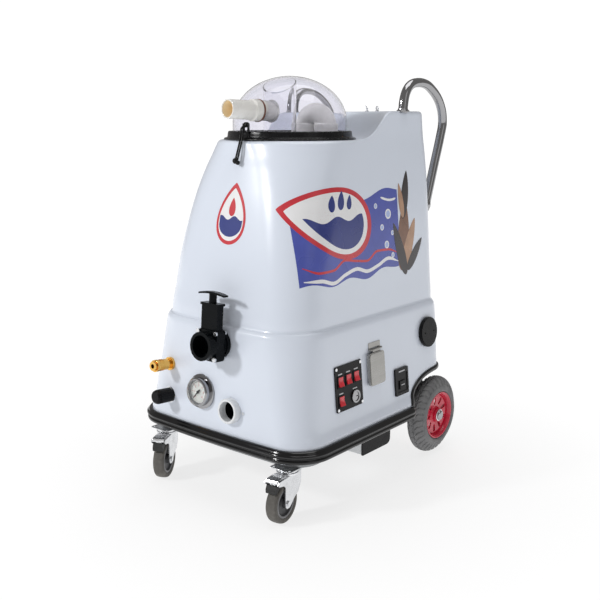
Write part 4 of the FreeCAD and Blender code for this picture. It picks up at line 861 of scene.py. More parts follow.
revolve("inlet_cuff_bore", [(19.5, -94.0), (19.5, 46.0), (19.2, 46.0), (19.2, -94.0)], INLET, M_CREAM, "lid", axis="Y", seg=64,
        slot="pipe_white")
revolve("inlet_seal", [(24.3, -1.4), (27.4, -1.4), (27.9, 0.0), (27.2, 3.6), (24.3, 3.6)], INLET, M_SEAL, "lid", axis="Y", seg=80, radius=0.6,
        slot="pipe_white")
revolve("inlet_coupling_pipe", [(19.5, 2.3), (24.2, 2.3), (24.2, 43.4), (26.4, 44.0), (27.4, 45.2), (27.4, 47.2), (26.6, 48.0), (19.5, 48.0)],
        INLET, M_PIPE, "lid", axis="Y", seg=96, radius=0.5, slot="pipe_white", replaces=("inlet_coupling",), sharp=60)

DX, DY, DR = 24.0, -146.0, 41.0


def dome_in(r):
    return 930.0 + 113.0 * np.sqrt(np.maximum(1 - (r / 143.0) ** 2, 0.0))


seg = 128
a = np.linspace(0, 2 * math.pi, seg, endpoint=False)


def diff_ring(r, t):
    x, y = DX + r * np.cos(a), DY + r * np.sin(a)
    zt = dome_in(np.hypot(x, y - RING_Y)) - 0.8
    return np.stack([x, y, 905.0 + (zt - 905.0) * t], axis=1)


rr = [diff_ring(DR, t) for t in np.linspace(0, 1, 40)] + [diff_ring(DR - 1.5, 1.002)] + [diff_ring(DR - 3.0, t) for t in np.linspace(1, 0, 40)]
v, f = rings_mesh(rr, loop=True)
diff = make("splash_tube", [world(p) for p in v], f, M_TUBE, "lid", slot="clear_acrylic", replaces=("inlet_diffuser",))
recalc(diff)
boolean(diff, raw_object(*drum(21.6, INLET, "Y", 0, 52, 96)))
diff.data.set_sharp_from_angle(angle=math.radians(40))

# rubber tie
tie_pts = bent([(0, 3.0, 0), (0, -12.0, -8.0), (0, -17.5, -40.0), (0, -34.0, -84.0)], [9.0, 18.0], 1.2)
for i, dx_ in enumerate((-3.4, 3.4)):
    sweep("lid_tie_strand_%d" % (i + 1), [world(p + np.array([TIE_X + dx_, -241.5, 926.0])) for p in tie_pts], 0.0023, M_RUBBER, "tie",
          seg=14, slot="bumper_rubber", replaces=("lid_tie",) if i == 0 else ())
tie_m = Matrix.Translation(Vector(world((TIE_X, -241.5, 926.0)))) @ Matrix.Scale(MM, 4)
revolve("lid_tie_eye", [(2.1, -5.6), (5.0, -5.7), (6.3, -4.0), (6.6, 0.0), (6.3, 4.0), (5.0, 5.7), (2.1, 5.6)],
        tie_m @ Matrix.Translation((0, 3.0, 0)), M_RUBBER, "tie", axis="X", seg=32, radius=0.6, slot="bumper_rubber")
revolve("lid_tie_pin", [(0.01, -8.7), (2.0, -8.7), (2.0, 8.7), (0.01, 8.7)], tie_m @ Matrix.Translation((0, 3.0, 0)), M_ZINC, "tie",
        axis="X", seg=20, slot="zinc_steel", closed=True)
ball = [(0.01, 7.4), (3.0, 7.0), (5.6, 5.2), (7.1, 2.2), (7.3, -1.0), (6.2, -4.2), (3.6, -6.8), (0.01, -7.6)]
revolve("lid_tie_ball", ball, tie_m @ Matrix.Translation((-2.0, -35.0, -86.0)), M_RUBBER, "tie", seg=32, radius=1.4, slot="bumper_rubber")
revolve("lid_tie_toe", [(r * 0.76, z * 0.76) for r, z in ball], tie_m @ Matrix.Translation((4.5, -34.0, -90.0)), M_RUBBER, "tie", seg=28,
        radius=1.0, slot="bumper_rubber")

# standpipe
LEG_X, LEG_Y, BEND_R, PR = 62.0, -8.0, 33.0, 28.0
LEG_TOP = 921.0


def u_path(z0, z1):
    pts = [(LEG_X, LEG_Y, z) for z in np.linspace(z0, LEG_TOP, 24)]
    pts += [(LEG_X - BEND_R + BEND_R * math.cos(t), LEG_Y, LEG_TOP + BEND_R * math.sin(t)) for t in np.linspace(0, math.pi, 40)[1:-1]]
    pts += [(LEG_X - 2 * BEND_R, LEG_Y, z) for z in np.linspace(LEG_TOP, z1, 6)]
    return np.array(pts)


P = u_path(430.0, 902.0)
T = np.gradient(P, axis=0)
T /= np.linalg.norm(T, axis=1)[:, None]
rings = []
for rr_, order in ((PR, range(len(P))), (25.0, range(len(P) - 1, -1, -1))):
    for i in order:
        e1 = np.array([0, 1.0, 0])
        e2 = np.cross(T[i], e1)
        rings.append([P[i] + rr_ * (math.cos(q) * e1 + math.sin(q) * e2) for q in np.linspace(0, 2 * math.pi, 72, endpoint=False)])
v, f = rings_mesh(rings, loop=True)
sp = make("standpipe_pipe", [world(p) for p in v], f, M_PIPE, "chassis", slot="pipe_white", replaces=("standpipe_bend",), sharp=60)
recalc(sp)
for i, lx in enumerate((LEG_X, LEG_X - 2 * BEND_R)):
    mm = Matrix.Translation(Vector(world((lx, LEG_Y, 0)))) @ Matrix.Scale(MM, 4)
    revolve("standpipe_collar_%d" % (i + 1), [(28.0, 902.0), (30.8, 902.0), (31.4, 904.0), (31.4, 926.0), (30.6, 928.0), (28.0, 928.4)], mm,
            M_PIPE, "chassis", seg=96, radius=0.6, slot="pipe_white", sharp=60)

# ------------------------------------------------------------------ handles
HC = np.array([(160.0, 956.0), (163.5, 985.0), (171.5, 1006.0), (185.2, 1022.3), (207.7, 1032.5), (240.0, 1035.5), (272.5, 1031.5),
               (302.0, 1018.5), (330.0, 1000.0), (352.0, 975.0), (363.0, 950.0), (365.5, 925.0), (357.0, 895.0), (323.8, 803.8),
               (291.7, 712.8), (283.7, 690.0)])
ht = np.concatenate([[0], np.cumsum(np.linalg.norm(np.diff(HC, axis=0), axis=1))])
hu = np.linspace(0, ht[-1], 220)
hy, hz = pchip(ht, HC[:, 0], hu), pchip(ht, HC[:, 1], hu)
for _ in range(14):
    hy[1:-1] = 0.25 * hy[:-2] + 0.5 * hy[1:-1] + 0.25 * hy[2:]
    hz[1:-1] = 0.25 * hz[:-2] + 0.5 * hz[1:-1] + 0.25 * hz[2:]
hpath = np.stack([np.full(220, 188.0), hy, hz], axis=1)
for s, nm in ((1, "right"), (-1, "left")):
    pts = [world((s * p[0], p[1], p[2])) for p in hpath]
    sweep("handle_tube_" + nm, pts, 0.0125, M_CHROME, "chassis", seg=36, slot="handle_chrome", replaces=("handle_" + nm,))
    fm = Matrix.Translation(Vector(world((s * 188.0, 160.6, 960.0)))) @ Matrix.Scale(MM, 4)
    revolve("handle_foot_" + nm, [(12.4, -2.0), (17.0, -2.0), (17.0, 1.4), (16.2, 2.4), (14.4, 3.0), (13.6, 4.4), (13.2, 6.6), (12.4, 7.0)], fm,
            M_CHROME, "chassis", seg=64, radius=0.5, slot="handle_chrome")
    yaw = math.atan2(s * 0.22, 1.0)
    lm = (Matrix.Translation(Vector(world((s * 187.0, 288.6, 704.5)))) @ Matrix.Rotation(-yaw, 4, "Z") @ Matrix.Scale(MM, 4))
    revolve("handle_socket_" + nm, [(12.2, 8.0), (13.2, 7.4), (13.8, 5.0), (15.0, 3.4), (17.6, 2.8), (18.6, 1.2), (18.6, -9.0), (12.2, -9.0)], lm,
            M_CHROME, "chassis", axis="Y", seg=64, radius=0.5, slot="handle_chrome")

# ------------------------------------------------------------------ rear wheels
AXLE_Y, WHEEL_R, WHEEL_X = 256.0, 110.0, 247.0


def smoothstep(a, b, x):
    t = np.clip((x - a) / (b - a), 0, 1)
    return t * t * (3 - 2 * t)


def tyre(name, sx, body, node):
    # half section (axial position, radius), inner bead to crown, then mirrored
    half = np.array([(22.4, 62.6), (24.2, 68.4), (27.4, 69.4), (29.3, 73.5), (28.9, 78.0), (26.3, 83.5), (23.3, 88.5), (20.4, 94.0),
                     (17.4, 99.5), (14.0, 104.3), (9.5, 108.2), (4.0, 109.9), (0.0, 110.0)])
    full = np.concatenate([half, half[-2::-1] * np.array([-1, 1])])
    t = np.concatenate([[0], np.cumsum(np.linalg.norm(np.diff(full, axis=0), axis=1))])
    tt = np.linspace(0, t[-1], 108)
    ax_, rad = pchip(t, full[:, 0], tt), pchip(t, full[:, 1], tt)
    for _ in range(3):
        ax_[1:-1] = 0.25 * ax_[:-2] + 0.5 * ax_[1:-1] + 0.25 * ax_[2:]
        rad[1:-1] = 0.25 * rad[:-2] + 0.5 * rad[1:-1] + 0.25 * rad[2:]
    nx, nr = np.gradient(rad), -np.gradient(ax_)
    L = np.hypot(nx, nr)
    nx, nr = nx / L, nr / L
    if nr[54] < 0:
        nx, nr = -nx, -nr
    nseg = 720
    ang = np.linspace(0, 2 * math.pi, nseg, endpoint=False)
    A, X = np.meshgrid(ang, ax_, indexing="ij")
    arc = A * WHEEL_R
    count = 34
    pitch = 2 * math.pi * WHEEL_R / count
    ab = np.abs(X)
    ph = np.mod((arc + 0.85 * ab * np.sign(X) * 0 + 1.15 * ab) / pitch, 1.0)
    groove = smoothstep(0.30, 0.36, ph) * (1 - smoothstep(0.60, 0.66, ph))
    RR = np.broadcast_to(rad, X.shape)
    crown = smoothstep(97.5, 100.5, RR)
    depth = 2.6 * groove * crown * smoothstep(1.5, 3.0, ab)
    zig = 1.6 * np.abs(np.mod(arc / (pitch / 2), 1.0) - 0.5) * 2
    depth = np.maximum(depth, 2.6 * (1 - smoothstep(1.1, 1.9, np.abs(ab - 6.2 - zig))) * crown)
    # shoulder lugs run down the side
    ph2 = np.mod((arc + 1.15 * 17.0) / pitch, 1.0)
    g2 = smoothstep(0.30, 0.37, ph2) * (1 - smoothstep(0.62, 0.69, ph2))
    shoulder = smoothstep(85.0, 87.0, RR) * (1 - smoothstep(100.0, 101.5, RR)) * (ab > 15)
    depth = np.maximum(depth, 1.8 * g2 * shoulder)
    # ribs on the side wall
    rib = 0.7 * np.exp(-((RR - 83.0) / 1.0) ** 2) + 0.6 * np.exp(-((RR - 73.5) / 1.2) ** 2) + 0.4 * np.exp(-((RR - 70.3) / 0.8) ** 2)
    depth = depth - rib * (ab > 20) - 0.25
    depth = np.where(RR > 96, depth + 0.25, depth)
    Xd = X - nx * depth
    Rd = RR - nr * depth
    Y = Rd * np.cos(A)
    Z = Rd * np.sin(A)
    P = np.stack([sx * (WHEEL_X + Xd), AXLE_Y + Y, WHEEL_R + Z], axis=2)
    # inner closing band
    inner = np.stack([np.stack([np.full(nseg, sx * (WHEEL_X + q)), AXLE_Y + 62.3 * np.cos(ang), WHEEL_R + 62.3 * np.sin(ang)], axis=1)
                      for q in (-21.0, 21.0)], axis=1)
    P = np.concatenate([P, inner], axis=1)
    n, m = P.shape[:2]
    v = P.reshape(-1, 3)
    f = []
    for j in range(m):
        jn = (j + 1) % m
        for i in range(n):
            k = (i + 1) % n
            f.append((i * m + j, k * m + j, k * m + jn, i * m + jn))
    ob = make(name, (v + np.array([0, SHIFT_Y, 0])) * MM, f, M_TYRE, body, slot="tyre_grey", replaces=(node,), sharp=48)
    recalc(ob)
    return ob


def rim(name, sx, body, node):
    """Dished rim with almond windows, rounded rims and a hub."""
    m0 = Matrix.Translation(Vector(world((sx * WHEEL_X, AXLE_Y, WHEEL_R)))) @ Matrix.Scale(MM, 4)
    if sx < 0:
        m0 = m0 @ Matrix.Rotation(math.pi, 4, "Z")
    barrel = [(62.3, -21.5), (66.6, -24.6), (67.4, -26.2), (66.4, -27.4), (64.0, -27.0), (59.6, -23.0), (58.0, -20.0), (57.4, 8.0), (56.4, 14.0),
              (57.6, 18.5), (59.6, 23.0), (63.6, 27.0), (66.2, 27.6), (67.4, 26.2), (66.6, 24.6), (62.3, 21.5), (61.6, 14.0), (61.4, -14.0)]
    revolve(name + "_barrel", barrel, m0, M_RIM, body, axis="X", seg=128, radius=0.7, slot="rim_red", replaces=(node,), sharp=60)
    # dish as an indexed grid with windows
    dish = [(10.06, 25.0), (18.4, 25.0), (19.6, 23.8), (20.6, 17.5), (23.0, 14.2), (27.0, 13.4), (40.0, 15.4), (50.0, 16.4), (55.0, 15.6),
            (57.6, 13.0), (57.6, 9.0), (54.0, 10.6), (48.0, 11.6), (40.0, 11.0), (27.0, 8.6), (22.0, 6.0), (20.0, -4.0), (19.4, -28.0),
            (18.4, -29.6), (10.06, -29.6)]
    ob = revolve(name + "_dish", dish, m0, M_RIM, body, axis="X", seg=144, radius=0.8, slot="rim_red")
    tools_ = []
    for i in range(9):
        c = 2 * math.pi * (i + 0.5) / 9
        pts = []
        for q in np.linspace(0, 2 * math.pi, 40, endpoint=False):
            rr0 = 40.0 + 11.6 * math.cos(q)
            wd = 6.6 * math.sin(q) * (0.62 + 0.38 * (math.cos(q) + 1) / 2)
            pts.append((rr0, wd))
        for h in (0,):
            va = []
            for xx in (-2.0, 26.0):
                va.append([(xx, r_ * math.cos(c) - w_ * math.sin(c), r_ * math.sin(c) + w_ * math.cos(c)) for r_, w_ in pts])
            vv, ff = rings_mesh(va, True, True)
            tools_.append(([m0 @ Vector(p) for p in vv], ff))
    boolean(ob, raw_object(*join_raw(tools_)))
    for p in ob.data.polygons:
        p.use_smooth = True
    b = ob.modifiers.new("edges", "BEVEL")
    b.width, b.segments, b.limit_method, b.angle_limit = 0.0011, 3, "ANGLE", math.radians(50)
    b.use_clamp_overlap = True
    n = ob.modifiers.new("normals", "WEIGHTED_NORMAL")
    n.weight = 60
    return ob


for s, nm in ((1, "right"), (-1, "left")):
    tyre("tyre_" + nm, s, "rear_wheel_" + nm, "rear_tyre_" + nm)
    rim("rim_" + nm, s, "rear_wheel_" + nm, "rear_rim_" + nm)

# axle, hub caps
axm = Matrix.Translation(Vector(world((0, AXLE_Y, WHEEL_R)))) @ Matrix.Scale(MM, 4)
revolve("axle_bar", [(0.01, -274.8), (9.0, -274.8), (10.0, -273.8), (10.0, 273.8), (9.0, 274.8), (0.01, 274.8)], axm, M_ZINC, "chassis", axis="X",
        seg=48, slot="zinc_steel", replaces=("rear_axle",), sharp=50)
for s, nm in ((1, "right"), (-1, "left")):
    capm = axm if s > 0 else axm @ Matrix.Rotation(math.pi, 4, "Z")
    revolve("hub_washer_" + nm, [(10.1, 273.2), (16.6, 273.2), (17.0, 273.6), (17.0, 274.6), (16.6, 275.0), (10.1, 275.0)], capm, M_ZINC, "chassis",
            axis="X", seg=64, slot="zinc_steel", sharp=50)
    revolve("hub_cap_" + nm, [(10.1, 275.1), (14.0, 275.1), (14.0, 277.0), (13.0, 279.2), (9.0, 280.6), (0.01, 281.0), (0.01, 279.6), (9.0, 279.4)],
            capm, M_CHROME, "chassis", axis="X", seg=64, radius=0.5, slot="zinc_steel", sharp=70)

# ------------------------------------------------------------------ casters
CASTER_TRAIL, CASTER_X, CASTER_Y, CASTER_H = 28.0, 213.5, -341.0, 131.0
for s, nm, turn in ((1, "right", 8.0), (-1, "left", 28.0)):
    cm = (Matrix.Translation(Vector(world((s * CASTER_X, CASTER_Y, 0)))) @ Matrix.Rotation(math.radians(turn), 4, "Z") @ Matrix.Scale(MM, 4))
    wm = cm @ Matrix.Translation((0, -CASTER_TRAIL, 50.0))
    wb = "front_wheel_" + nm
    revolve("caster_tread_" + nm, [(37.0, -13.0), (42.0, -14.6), (45.6, -14.8), (48.4, -12.8), (49.6, -8.5), (49.95, -3.0), (49.95, 3.0), (49.6, 8.5),
                                   (48.4, 12.8), (45.6, 14.8), (42.0, 14.6), (37.0, 13.0)], wm, M_TREAD, wb, axis="X", seg=128, radius=1.2,
            slot="caster_rubber", replaces=("caster_wheel_" + nm,), sharp=70)
    revolve("caster_core_" + nm, [(4.1, -16.4), (10.8, -16.4), (11.5, -15.6), (12.6, -8.4), (15.0, -7.0), (27.0, -6.4), (29.6, -8.0), (31.0, -11.0),
                                  (37.2, -12.2), (37.2, 12.2), (31.0, 11.0), (29.6, 8.0), (27.0, 6.4), (15.0, 7.0), (12.6, 8.4), (11.5, 15.6),
                                  (10.8, 16.4), (4.1, 16.4)], wm, M_CORE, wb, axis="X", seg=96, radius=0.8, slot="caster_rubber", sharp=60)
    for sd in (-1, 1):
        revolve("caster_band_%s_%s" % (nm, "a" if sd < 0 else "b"),
                [(31.6, sd * 11.2), (32.0, sd * 12.3), (34.6, sd * 12.9), (36.6, sd * 12.6), (36.8, sd * 11.8)], wm, M_CORE_LIGHT, wb, axis="X",
                seg=96, radius=0.4, slot="caster_rubber")
    dress("caster_fork_" + nm, M_ZINC, 0.9)
    dress("brake_pedal_" + nm, M_ZINC, 0.9)
    # rubber shoe under the pedal
    sh = [(-49.5, 107.3), (-70.3, 107.3), (-75.4, 97.0), (-74.4, 87.2), (-71.0, 86.8), (-67.8, 88.9), (-61.8, 93.3), (-55.8, 97.0),
          (-49.7, 99.9)]
    sh = fillet(sh, 1.6, 4, closed=True)
    rings = [[(x_, y_, z_) for y_, z_ in sh] for x_ in (-13.6, 13.6)]
    v, f = rings_mesh(rings, True, True)
    shoe = make("brake_shoe_" + nm, [cm @ Vector(p) for p in v], f, M_SHOE, "pedal_" + nm, slot="black_plastic", sharp=50)
    recalc(shoe)
dress("caster_plates", M_ZINC, 0.8)

# ------------------------------------------------------------------ nodes that keep their CAD shape
for node, mat, w in (
        ("base_pan", M_PAN, 0.8), ("axle_brackets", M_ZINC, 0.8), ("shelf_hooks", M_ZINC, 0.3), ("solution_tank", M_PIPE, 3.0),
        ("pump_unit", M_BLACK, 2.0), ("vacuum_motors", M_MOTOR, 2.0),
        ("gate_valve_rear", M_VALVE, 1.1), ("gate_valve_front", M_VALVE, 1.1), ("gate_valve_bolts", M_ZINC, 0.6),
        ("gate_blade", M_VALVE, 0.4), ("gate_handle", M_VALVE, 1.5),
        ("quick_coupler_body", M_BRASS, 0.7), ("quick_coupler_collar", M_BRASS, 0.8), ("regulator_body", M_ZINC, 0.8),
        ("regulator_knob", M_BLACK, 0.6), ("gauge_case", M_CHROME, 0.7), ("gauge_dial", M_DIAL, 0.2), ("gauge_lens", M_LENS, 0.3),
        ("gauge_needle", M_INK_BLACK, 0.15), ("hose_port", M_PORT, 1.0), ("switch_panel", M_PANEL, 0.7), ("panel_screws", M_ZINC, 0.5),
        ("rocker_1", M_ROCKER, 1.0), ("rocker_2", M_ROCKER, 1.0), ("rocker_3", M_ROCKER, 1.0), ("rocker_4", M_ROCKER, 1.0),
        ("key_switch_ring", M_CHROME, 0.9), ("key_switch_barrel", M_CHROME, 0.5), ("power_inlet", M_GREY, 0.8),
        ("inlet_hinge_plate", M_STEEL_DARK, 0.5), ("inlet_cover", M_STEEL_DARK, 1.8), ("breaker_box", M_PANEL, 0.9), ("side_cap_neck", M_BLACK, 0.8),
        ("side_cap", M_BLACK, 1.0)):
    dress(node, mat, w)


def bevel_block(name, b, matrix, mat, body, width, slot=None, segments=3, **kw):
    v, f = block(*b, matrix)
    ob = make(name, v, f, mat, body, slot=slot, **kw)
    recalc(ob)
    m_ = ob.modifiers.new("edges", "BEVEL")
    m_.width, m_.segments = width * MM, segments
    n_ = ob.modifiers.new("normals", "WEIGHTED_NORMAL")
    n_.weight = 60
    return ob


HP_ = front_matrix(60.0, 244.0)
# black tube with a closed black end inside the hose port: painted shade standing in for the dark inside of the opening
revolve("hose_port_lining", [(24.3, 4.0), (24.3, 39.5), (0.01, 39.5), (0.01, 38.9), (23.7, 38.9), (23.7, 4.0)], HP_, M_BLACK, "chassis",
        axis="Y", seg=72, slot="black_plastic", sharp=40)
# exhaust box under the right side
exh = bevel_block("exhaust_hood", (130.0, -72.0, 80.0, 235.9, 57.0, 131.0), ID, M_PORT, "chassis", 3.0, slot="body_plastic",
                  replaces=("exhaust_box",))
loop = fillet([(-72.0, 78.0), (57.0, 78.0), (57.0, 131.0), (-72.0, 131.0)], [4.0, 18.0, 18.0, 4.0], 8, closed=True)
v, f = rings_mesh([[(236.0, y_, z_) for y_, z_ in loop], [(239.4, y_, z_) for y_, z_ in loop]], True, True)
pl = make("exhaust_plate", [ID @ Vector(p) for p in v], f, M_BLACK, "chassis", slot="black_plastic", sharp=50)
recalc(pl)

# knurl on the brass coupler
CP = front_matrix(-165.0, 320.0)
vv = []
for i in range(36):
    q = 2 * math.pi * i / 36
    vv.append(block(-0.55, -46.0, -0.5, 0.55, -31.0, 0.5, CP @ Matrix.Rotation(q, 4, "Y") @ Matrix.Translation((0, 0, 14.35))))
kn = make("coupler_knurl", *join_raw(vv), M_BRASS, "coupler_sleeve", slot="brass", smooth=False)
recalc(kn)
# ribs on the regulator knob
RM = front_matrix(-163.0, 238.0)
vv = []
for i in range(28):
    q = 2 * math.pi * i / 28
    vv.append(block(-0.9, -45.0, -0.8, 0.9, -8.0, 0.7, RM @ Matrix.Rotation(q, 4, "Y") @ Matrix.Translation((0, 0, 17.9))))
kr = make("regulator_knob_ribs", *join_raw(vv), M_BLACK, "knob", slot="knob_black", smooth=False)
recalc(kr)
bvm = kr.modifiers.new("edges", "BEVEL")
bvm.width, bvm.segments = 0.0003, 2

# gauge face
GM = front_matrix(-42.0, 272.0)
vv, vr = [], []
for i in range(61):
    ang = math.radians(222.0 + 270.0 * i / 60)
    big = i % 10 == 0
    mid = i % 5 == 0
    r0 = 20.6 if big else (22.4 if mid else 23.4)
    w_ = 0.42 if big else 0.22
    mt = GM @ Matrix.Rotation(ang, 4, "Y")
    (vv if not big else vr).append(block(-w_, -11.34, r0, w_, -11.22, 25.6, mt))
make("gauge_ticks", *join_raw(vv), M_INK_BLACK, "chassis", slot="knob_black", smooth=False)
make("gauge_ticks_long", *join_raw(vr), M_INK_RED, "chassis", slot="rocker_red", smooth=False)
q = np.radians(np.linspace(222.0, 492.0, 120))
pts = []
for i, ang in enumerate(q):
    pts.append([(r_ * math.sin(ang), y_, r_ * math.cos(ang)) for r_, y_ in ((25.7, -11.22), (25.7, -11.34), (26.3, -11.34), (26.3, -11.22))])
v, f = rings_mesh(pts, True, True)
make("gauge_arc", [GM @ Vector(p) for p in v], f, M_INK_BLACK, "chassis", slot="knob_black", smooth=False)
digits = []
for i in range(7):
    ang = math.radians(222.0 + 270.0 * i / 6)
    cu = bpy.data.curves.new("digit", "FONT")
    cu.body = str(i)
    cu.size = 6.4
    cu.align_x, cu.align_y = "CENTER", "CENTER"
    cu.extrude = 0.05
    cu.offset = 0.12
    to = bpy.data.objects.new("digit", cu)
    bpy.context.scene.collection.objects.link(to)
    dg = bpy.context.evaluated_depsgraph_get()
    dm = bpy.data.meshes.new_from_object(to.evaluated_get(dg))
    mt = GM @ Matrix.Translation((16.4 * math.sin(ang), -11.35, 16.4 * math.cos(ang))) @ Matrix.Rotation(math.pi / 2, 4, "X")
    digits.append(([mt @ v_.co for v_ in dm.vertices], [tuple(p.vertices) for p in dm.polygons]))
    bpy.data.objects.remove(to)
    bpy.data.curves.remove(cu)
    bpy.data.meshes.remove(dm)
make("gauge_numbers", *join_raw(digits), M_INK_RED, "chassis", slot="rocker_red", smooth=False)
revolve("gauge_hub", [(0.01, -17.2), (2.6, -17.2), (3.6, -16.6), (3.8, -15.4), (0.01, -15.4)], GM, M_INK_BLACK, "needle", axis="Y", seg=32,
        radius=0.3, slot="knob_black")

# light marker bars on the switch panel and breaker
for i, (ry, rz) in enumerate(ROCKERS):
    bevel_block("switch_marker_%d" % (i + 1), (3.2, ry - 8.0, rz + 17.6, 3.42, ry + 8.0, rz + 20.8), SP, M_LIGHTBAR, "chassis", 0.08,
                slot="dial_white", segments=1)
    for j, dz in enumerate((6.4, -6.4)):
        bevel_block("rocker_mark_%d_%d" % (i + 1, j + 1), (5.9, ry - (0.55 if j == 0 else 2.2), rz + dz - (2.4 if j == 0 else 0.5),
                                                          6.9 if j == 0 else 6.9, ry + (0.55 if j == 0 else 2.2), rz + dz + (2.4 if j == 0 else 0.5)),
                    SP @ Matrix.Translation((0.6, ry, rz)) @ Matrix.Rotation(math.radians(-9.0), 4, "Y") @ Matrix.Translation((-0.6, -ry, -rz))
                    @ Matrix.Translation((-0.35, 0, 0)), M_LIGHTBAR, "rocker_" + "abcd"[i], 0.1, slot="dial_white", segments=1)
bevel_block("key_marker", (3.2, KEY[0] - 9.0, KEY[1] + 19.2, 3.42, KEY[0] + 9.0, KEY[1] + 22.0), SP, M_LIGHTBAR, "chassis", 0.08,
            slot="dial_white", segments=1)
BK = side_matrix(55.5, 258.5)
bevel_block("breaker_marker_1", (5.0, -14.0, 26.0, 5.2, 14.0, 29.4), BK, M_LIGHTBAR, "chassis", 0.06, slot="dial_white", segments=1)
bevel_block("breaker_marker_2", (6.4, -7.0, -10.0, 6.6, 9.0, -7.6), BK, M_LIGHTBAR, "chassis", 0.06, slot="dial_white", segments=1)

# ------------------------------------------------------------------ decals that follow the wall
DZ = np.arange(480.0, 872.0, 4.0)
TABLE = [np.stack(wall(TANK_SEC, z), axis=1) for z in DZ]


def arc_table(anchor):
    out_ = []
    for ring_ in TABLE:
        d = np.linalg.norm(np.diff(np.vstack([ring_, ring_[:1]]), axis=0), axis=1)
        s_ = np.concatenate([[0], np.cumsum(d)])[:-1]
        total = d.sum()
        if anchor == "side":
            idx = np.where(SEG_I == 2)[0]
            s0 = np.interp(0.0, ring_[idx, 1], s_[idx])
        else:
            idx = np.where(SEG_I == 0)[0]
            s0 = np.interp(0.0, ring_[idx, 0], s_[idx])
        rel = np.mod(s_ - s0 + total / 2, total) - total / 2
        o = np.argsort(rel)
        out_.append((rel[o], ring_[o]))
    return out_


ARCS = {"side": arc_table("side"), "front": arc_table("front")}


def on_wall(anchor, s_, z_):
    k = int(np.clip((z_ - DZ[0]) // 4.0, 0, len(DZ) - 2))
    t = (z_ - DZ[k]) / 4.0
    p = []
    for j in (k, k + 1):
        rel, rg = ARCS[anchor][j]
        p.append(np.array([np.interp(s_, rel, rg[:, 0]), np.interp(s_, rel, rg[:, 1])]))
    xy = p[0] * (1 - t) + p[1] * t
    return np.array([xy[0], xy[1], z_])


def inside(poly, pts):
    x, y = pts[:, 0], pts[:, 1]
    r = np.zeros(len(pts), bool)
    n_ = len(poly)
    for i in range(n_):
        x0, y0 = poly[i]
        x1, y1 = poly[(i + 1) % n_]
        c = ((y0 > y) != (y1 > y)) & (x < (x1 - x0) * (y - y0) / (y1 - y0 + 1e-12) + x0)
        r ^= c
    return r


def decal(name, poly, mat, layer, anchor, slot="body_plastic", step=8.0):
    P = []
    n_ = len(poly)
    for i in range(n_):
        a_, b_ = np.array(poly[i]), np.array(poly[(i + 1) % n_])
        k = max(1, int(np.linalg.norm(b_ - a_) / 5.0))
        P += [a_ + (b_ - a_) * j / k for j in range(k)]
    P = np.array(P)
    lo_, hi_ = P.min(0), P.max(0)
    gx, gy = np.meshgrid(np.arange(lo_[0], hi_[0], step), np.arange(lo_[1], hi_[1], step))
    G = np.stack([gx.ravel(), gy.ravel()], axis=1)
    G = G[inside(P, G)] if len(G) else G
    if len(G):
        d = np.min(np.linalg.norm(G[:, None, :] - P[None, :, :], axis=2), axis=1)
        G = G[d > step * 0.35]
    allp = np.vstack([P, G]) if len(G) else P
    loop_ = list(range(len(P)))
    res = delaunay_2d_cdt([Vector(p) for p in allp], [], [loop_], 1, 1e-5)
    vs, fs = res[0], res[2]
    out_ = []
    off = 0.22 + 0.10 * layer
    for q in vs:
        p0 = on_wall(anchor, q[0], q[1])
        ps = on_wall(anchor, q[0] + 1.0, q[1]) - on_wall(anchor, q[0] - 1.0, q[1])
        pz = on_wall(anchor, q[0], q[1] + 1.0) - on_wall(anchor, q[0], q[1] - 1.0)
        nn = np.cross(ps, pz)
        nn /= np.linalg.norm(nn)
        out_.append(world(p0 + nn * off))
    return make(name, out_, fs, mat, "chassis", slot=slot)


def vinyl(name, color, tint=0.06):
    return surface(name, color, 0.30, tint=tint, mottling=26.0, grain=60.0, grain_depth=0.00001, coat=0.3, coat_rough=0.12)


V_WHITE = vinyl("vinyl_white", (0.86, 0.86, 0.87), 0.02)
V_RED = vinyl("vinyl_red", (0.60, 0.035, 0.050))
V_NAVY = vinyl("vinyl_navy", (0.030, 0.045, 0.22))
V_BLUE = vinyl("vinyl_blue", (0.075, 0.10, 0.42))
V_SKY = vinyl("vinyl_pale_blue", (0.42, 0.52, 0.82))
V_BROWN = vinyl("vinyl_brown", (0.20, 0.095, 0.055), 0.2)
V_TAN = vinyl("vinyl_tan", (0.46, 0.27, 0.17), 0.15)
V_DARK = vinyl("vinyl_dark", (0.035, 0.028, 0.030), 0.2)


def drop(cx_, cz_, w_, h_, lean=0.0, n_=64, grow=0.0, p_=0.75):
    """Water drop, point towards lean degrees from upright."""
    pts_ = []
    for t_ in np.linspace(0, 2 * math.pi, n_, endpoint=False):
        x_ = (w_ / 2 + grow) * math.sin(t_) * math.sin(t_ / 2) ** p_
        z_ = (h_ / 2 + grow) * math.cos(t_)
        a_ = math.radians(lean)
        pts_.append((cx_ + x_ * math.cos(a_) + z_ * math.sin(a_), cz_ - x_ * math.sin(a_) + z_ * math.cos(a_)))
    return pts_


def stroke(points, widths, n_=40):
    """Tapered brush stroke along a smooth line."""
    Pn = np.array(points, float)
    t_ = np.linspace(0, 1, len(Pn))
    u_ = np.linspace(0, 1, n_)
    x_, z_, w_ = pchip(t_, Pn[:, 0], u_), pchip(t_, Pn[:, 1], u_), pchip(t_, np.array(widths, float), u_)
    tx, tz = np.gradient(x_), np.gradient(z_)
    l_ = np.hypot(tx, tz) + 1e-9
    nx_, nz_ = -tz / l_, tx / l_
    return list(zip(x_ + nx_ * w_ / 2, z_ + nz_ * w_ / 2)) + list(zip((x_ - nx_ * w_ / 2)[::-1], (z_ - nz_ * w_ / 2)[::-1]))


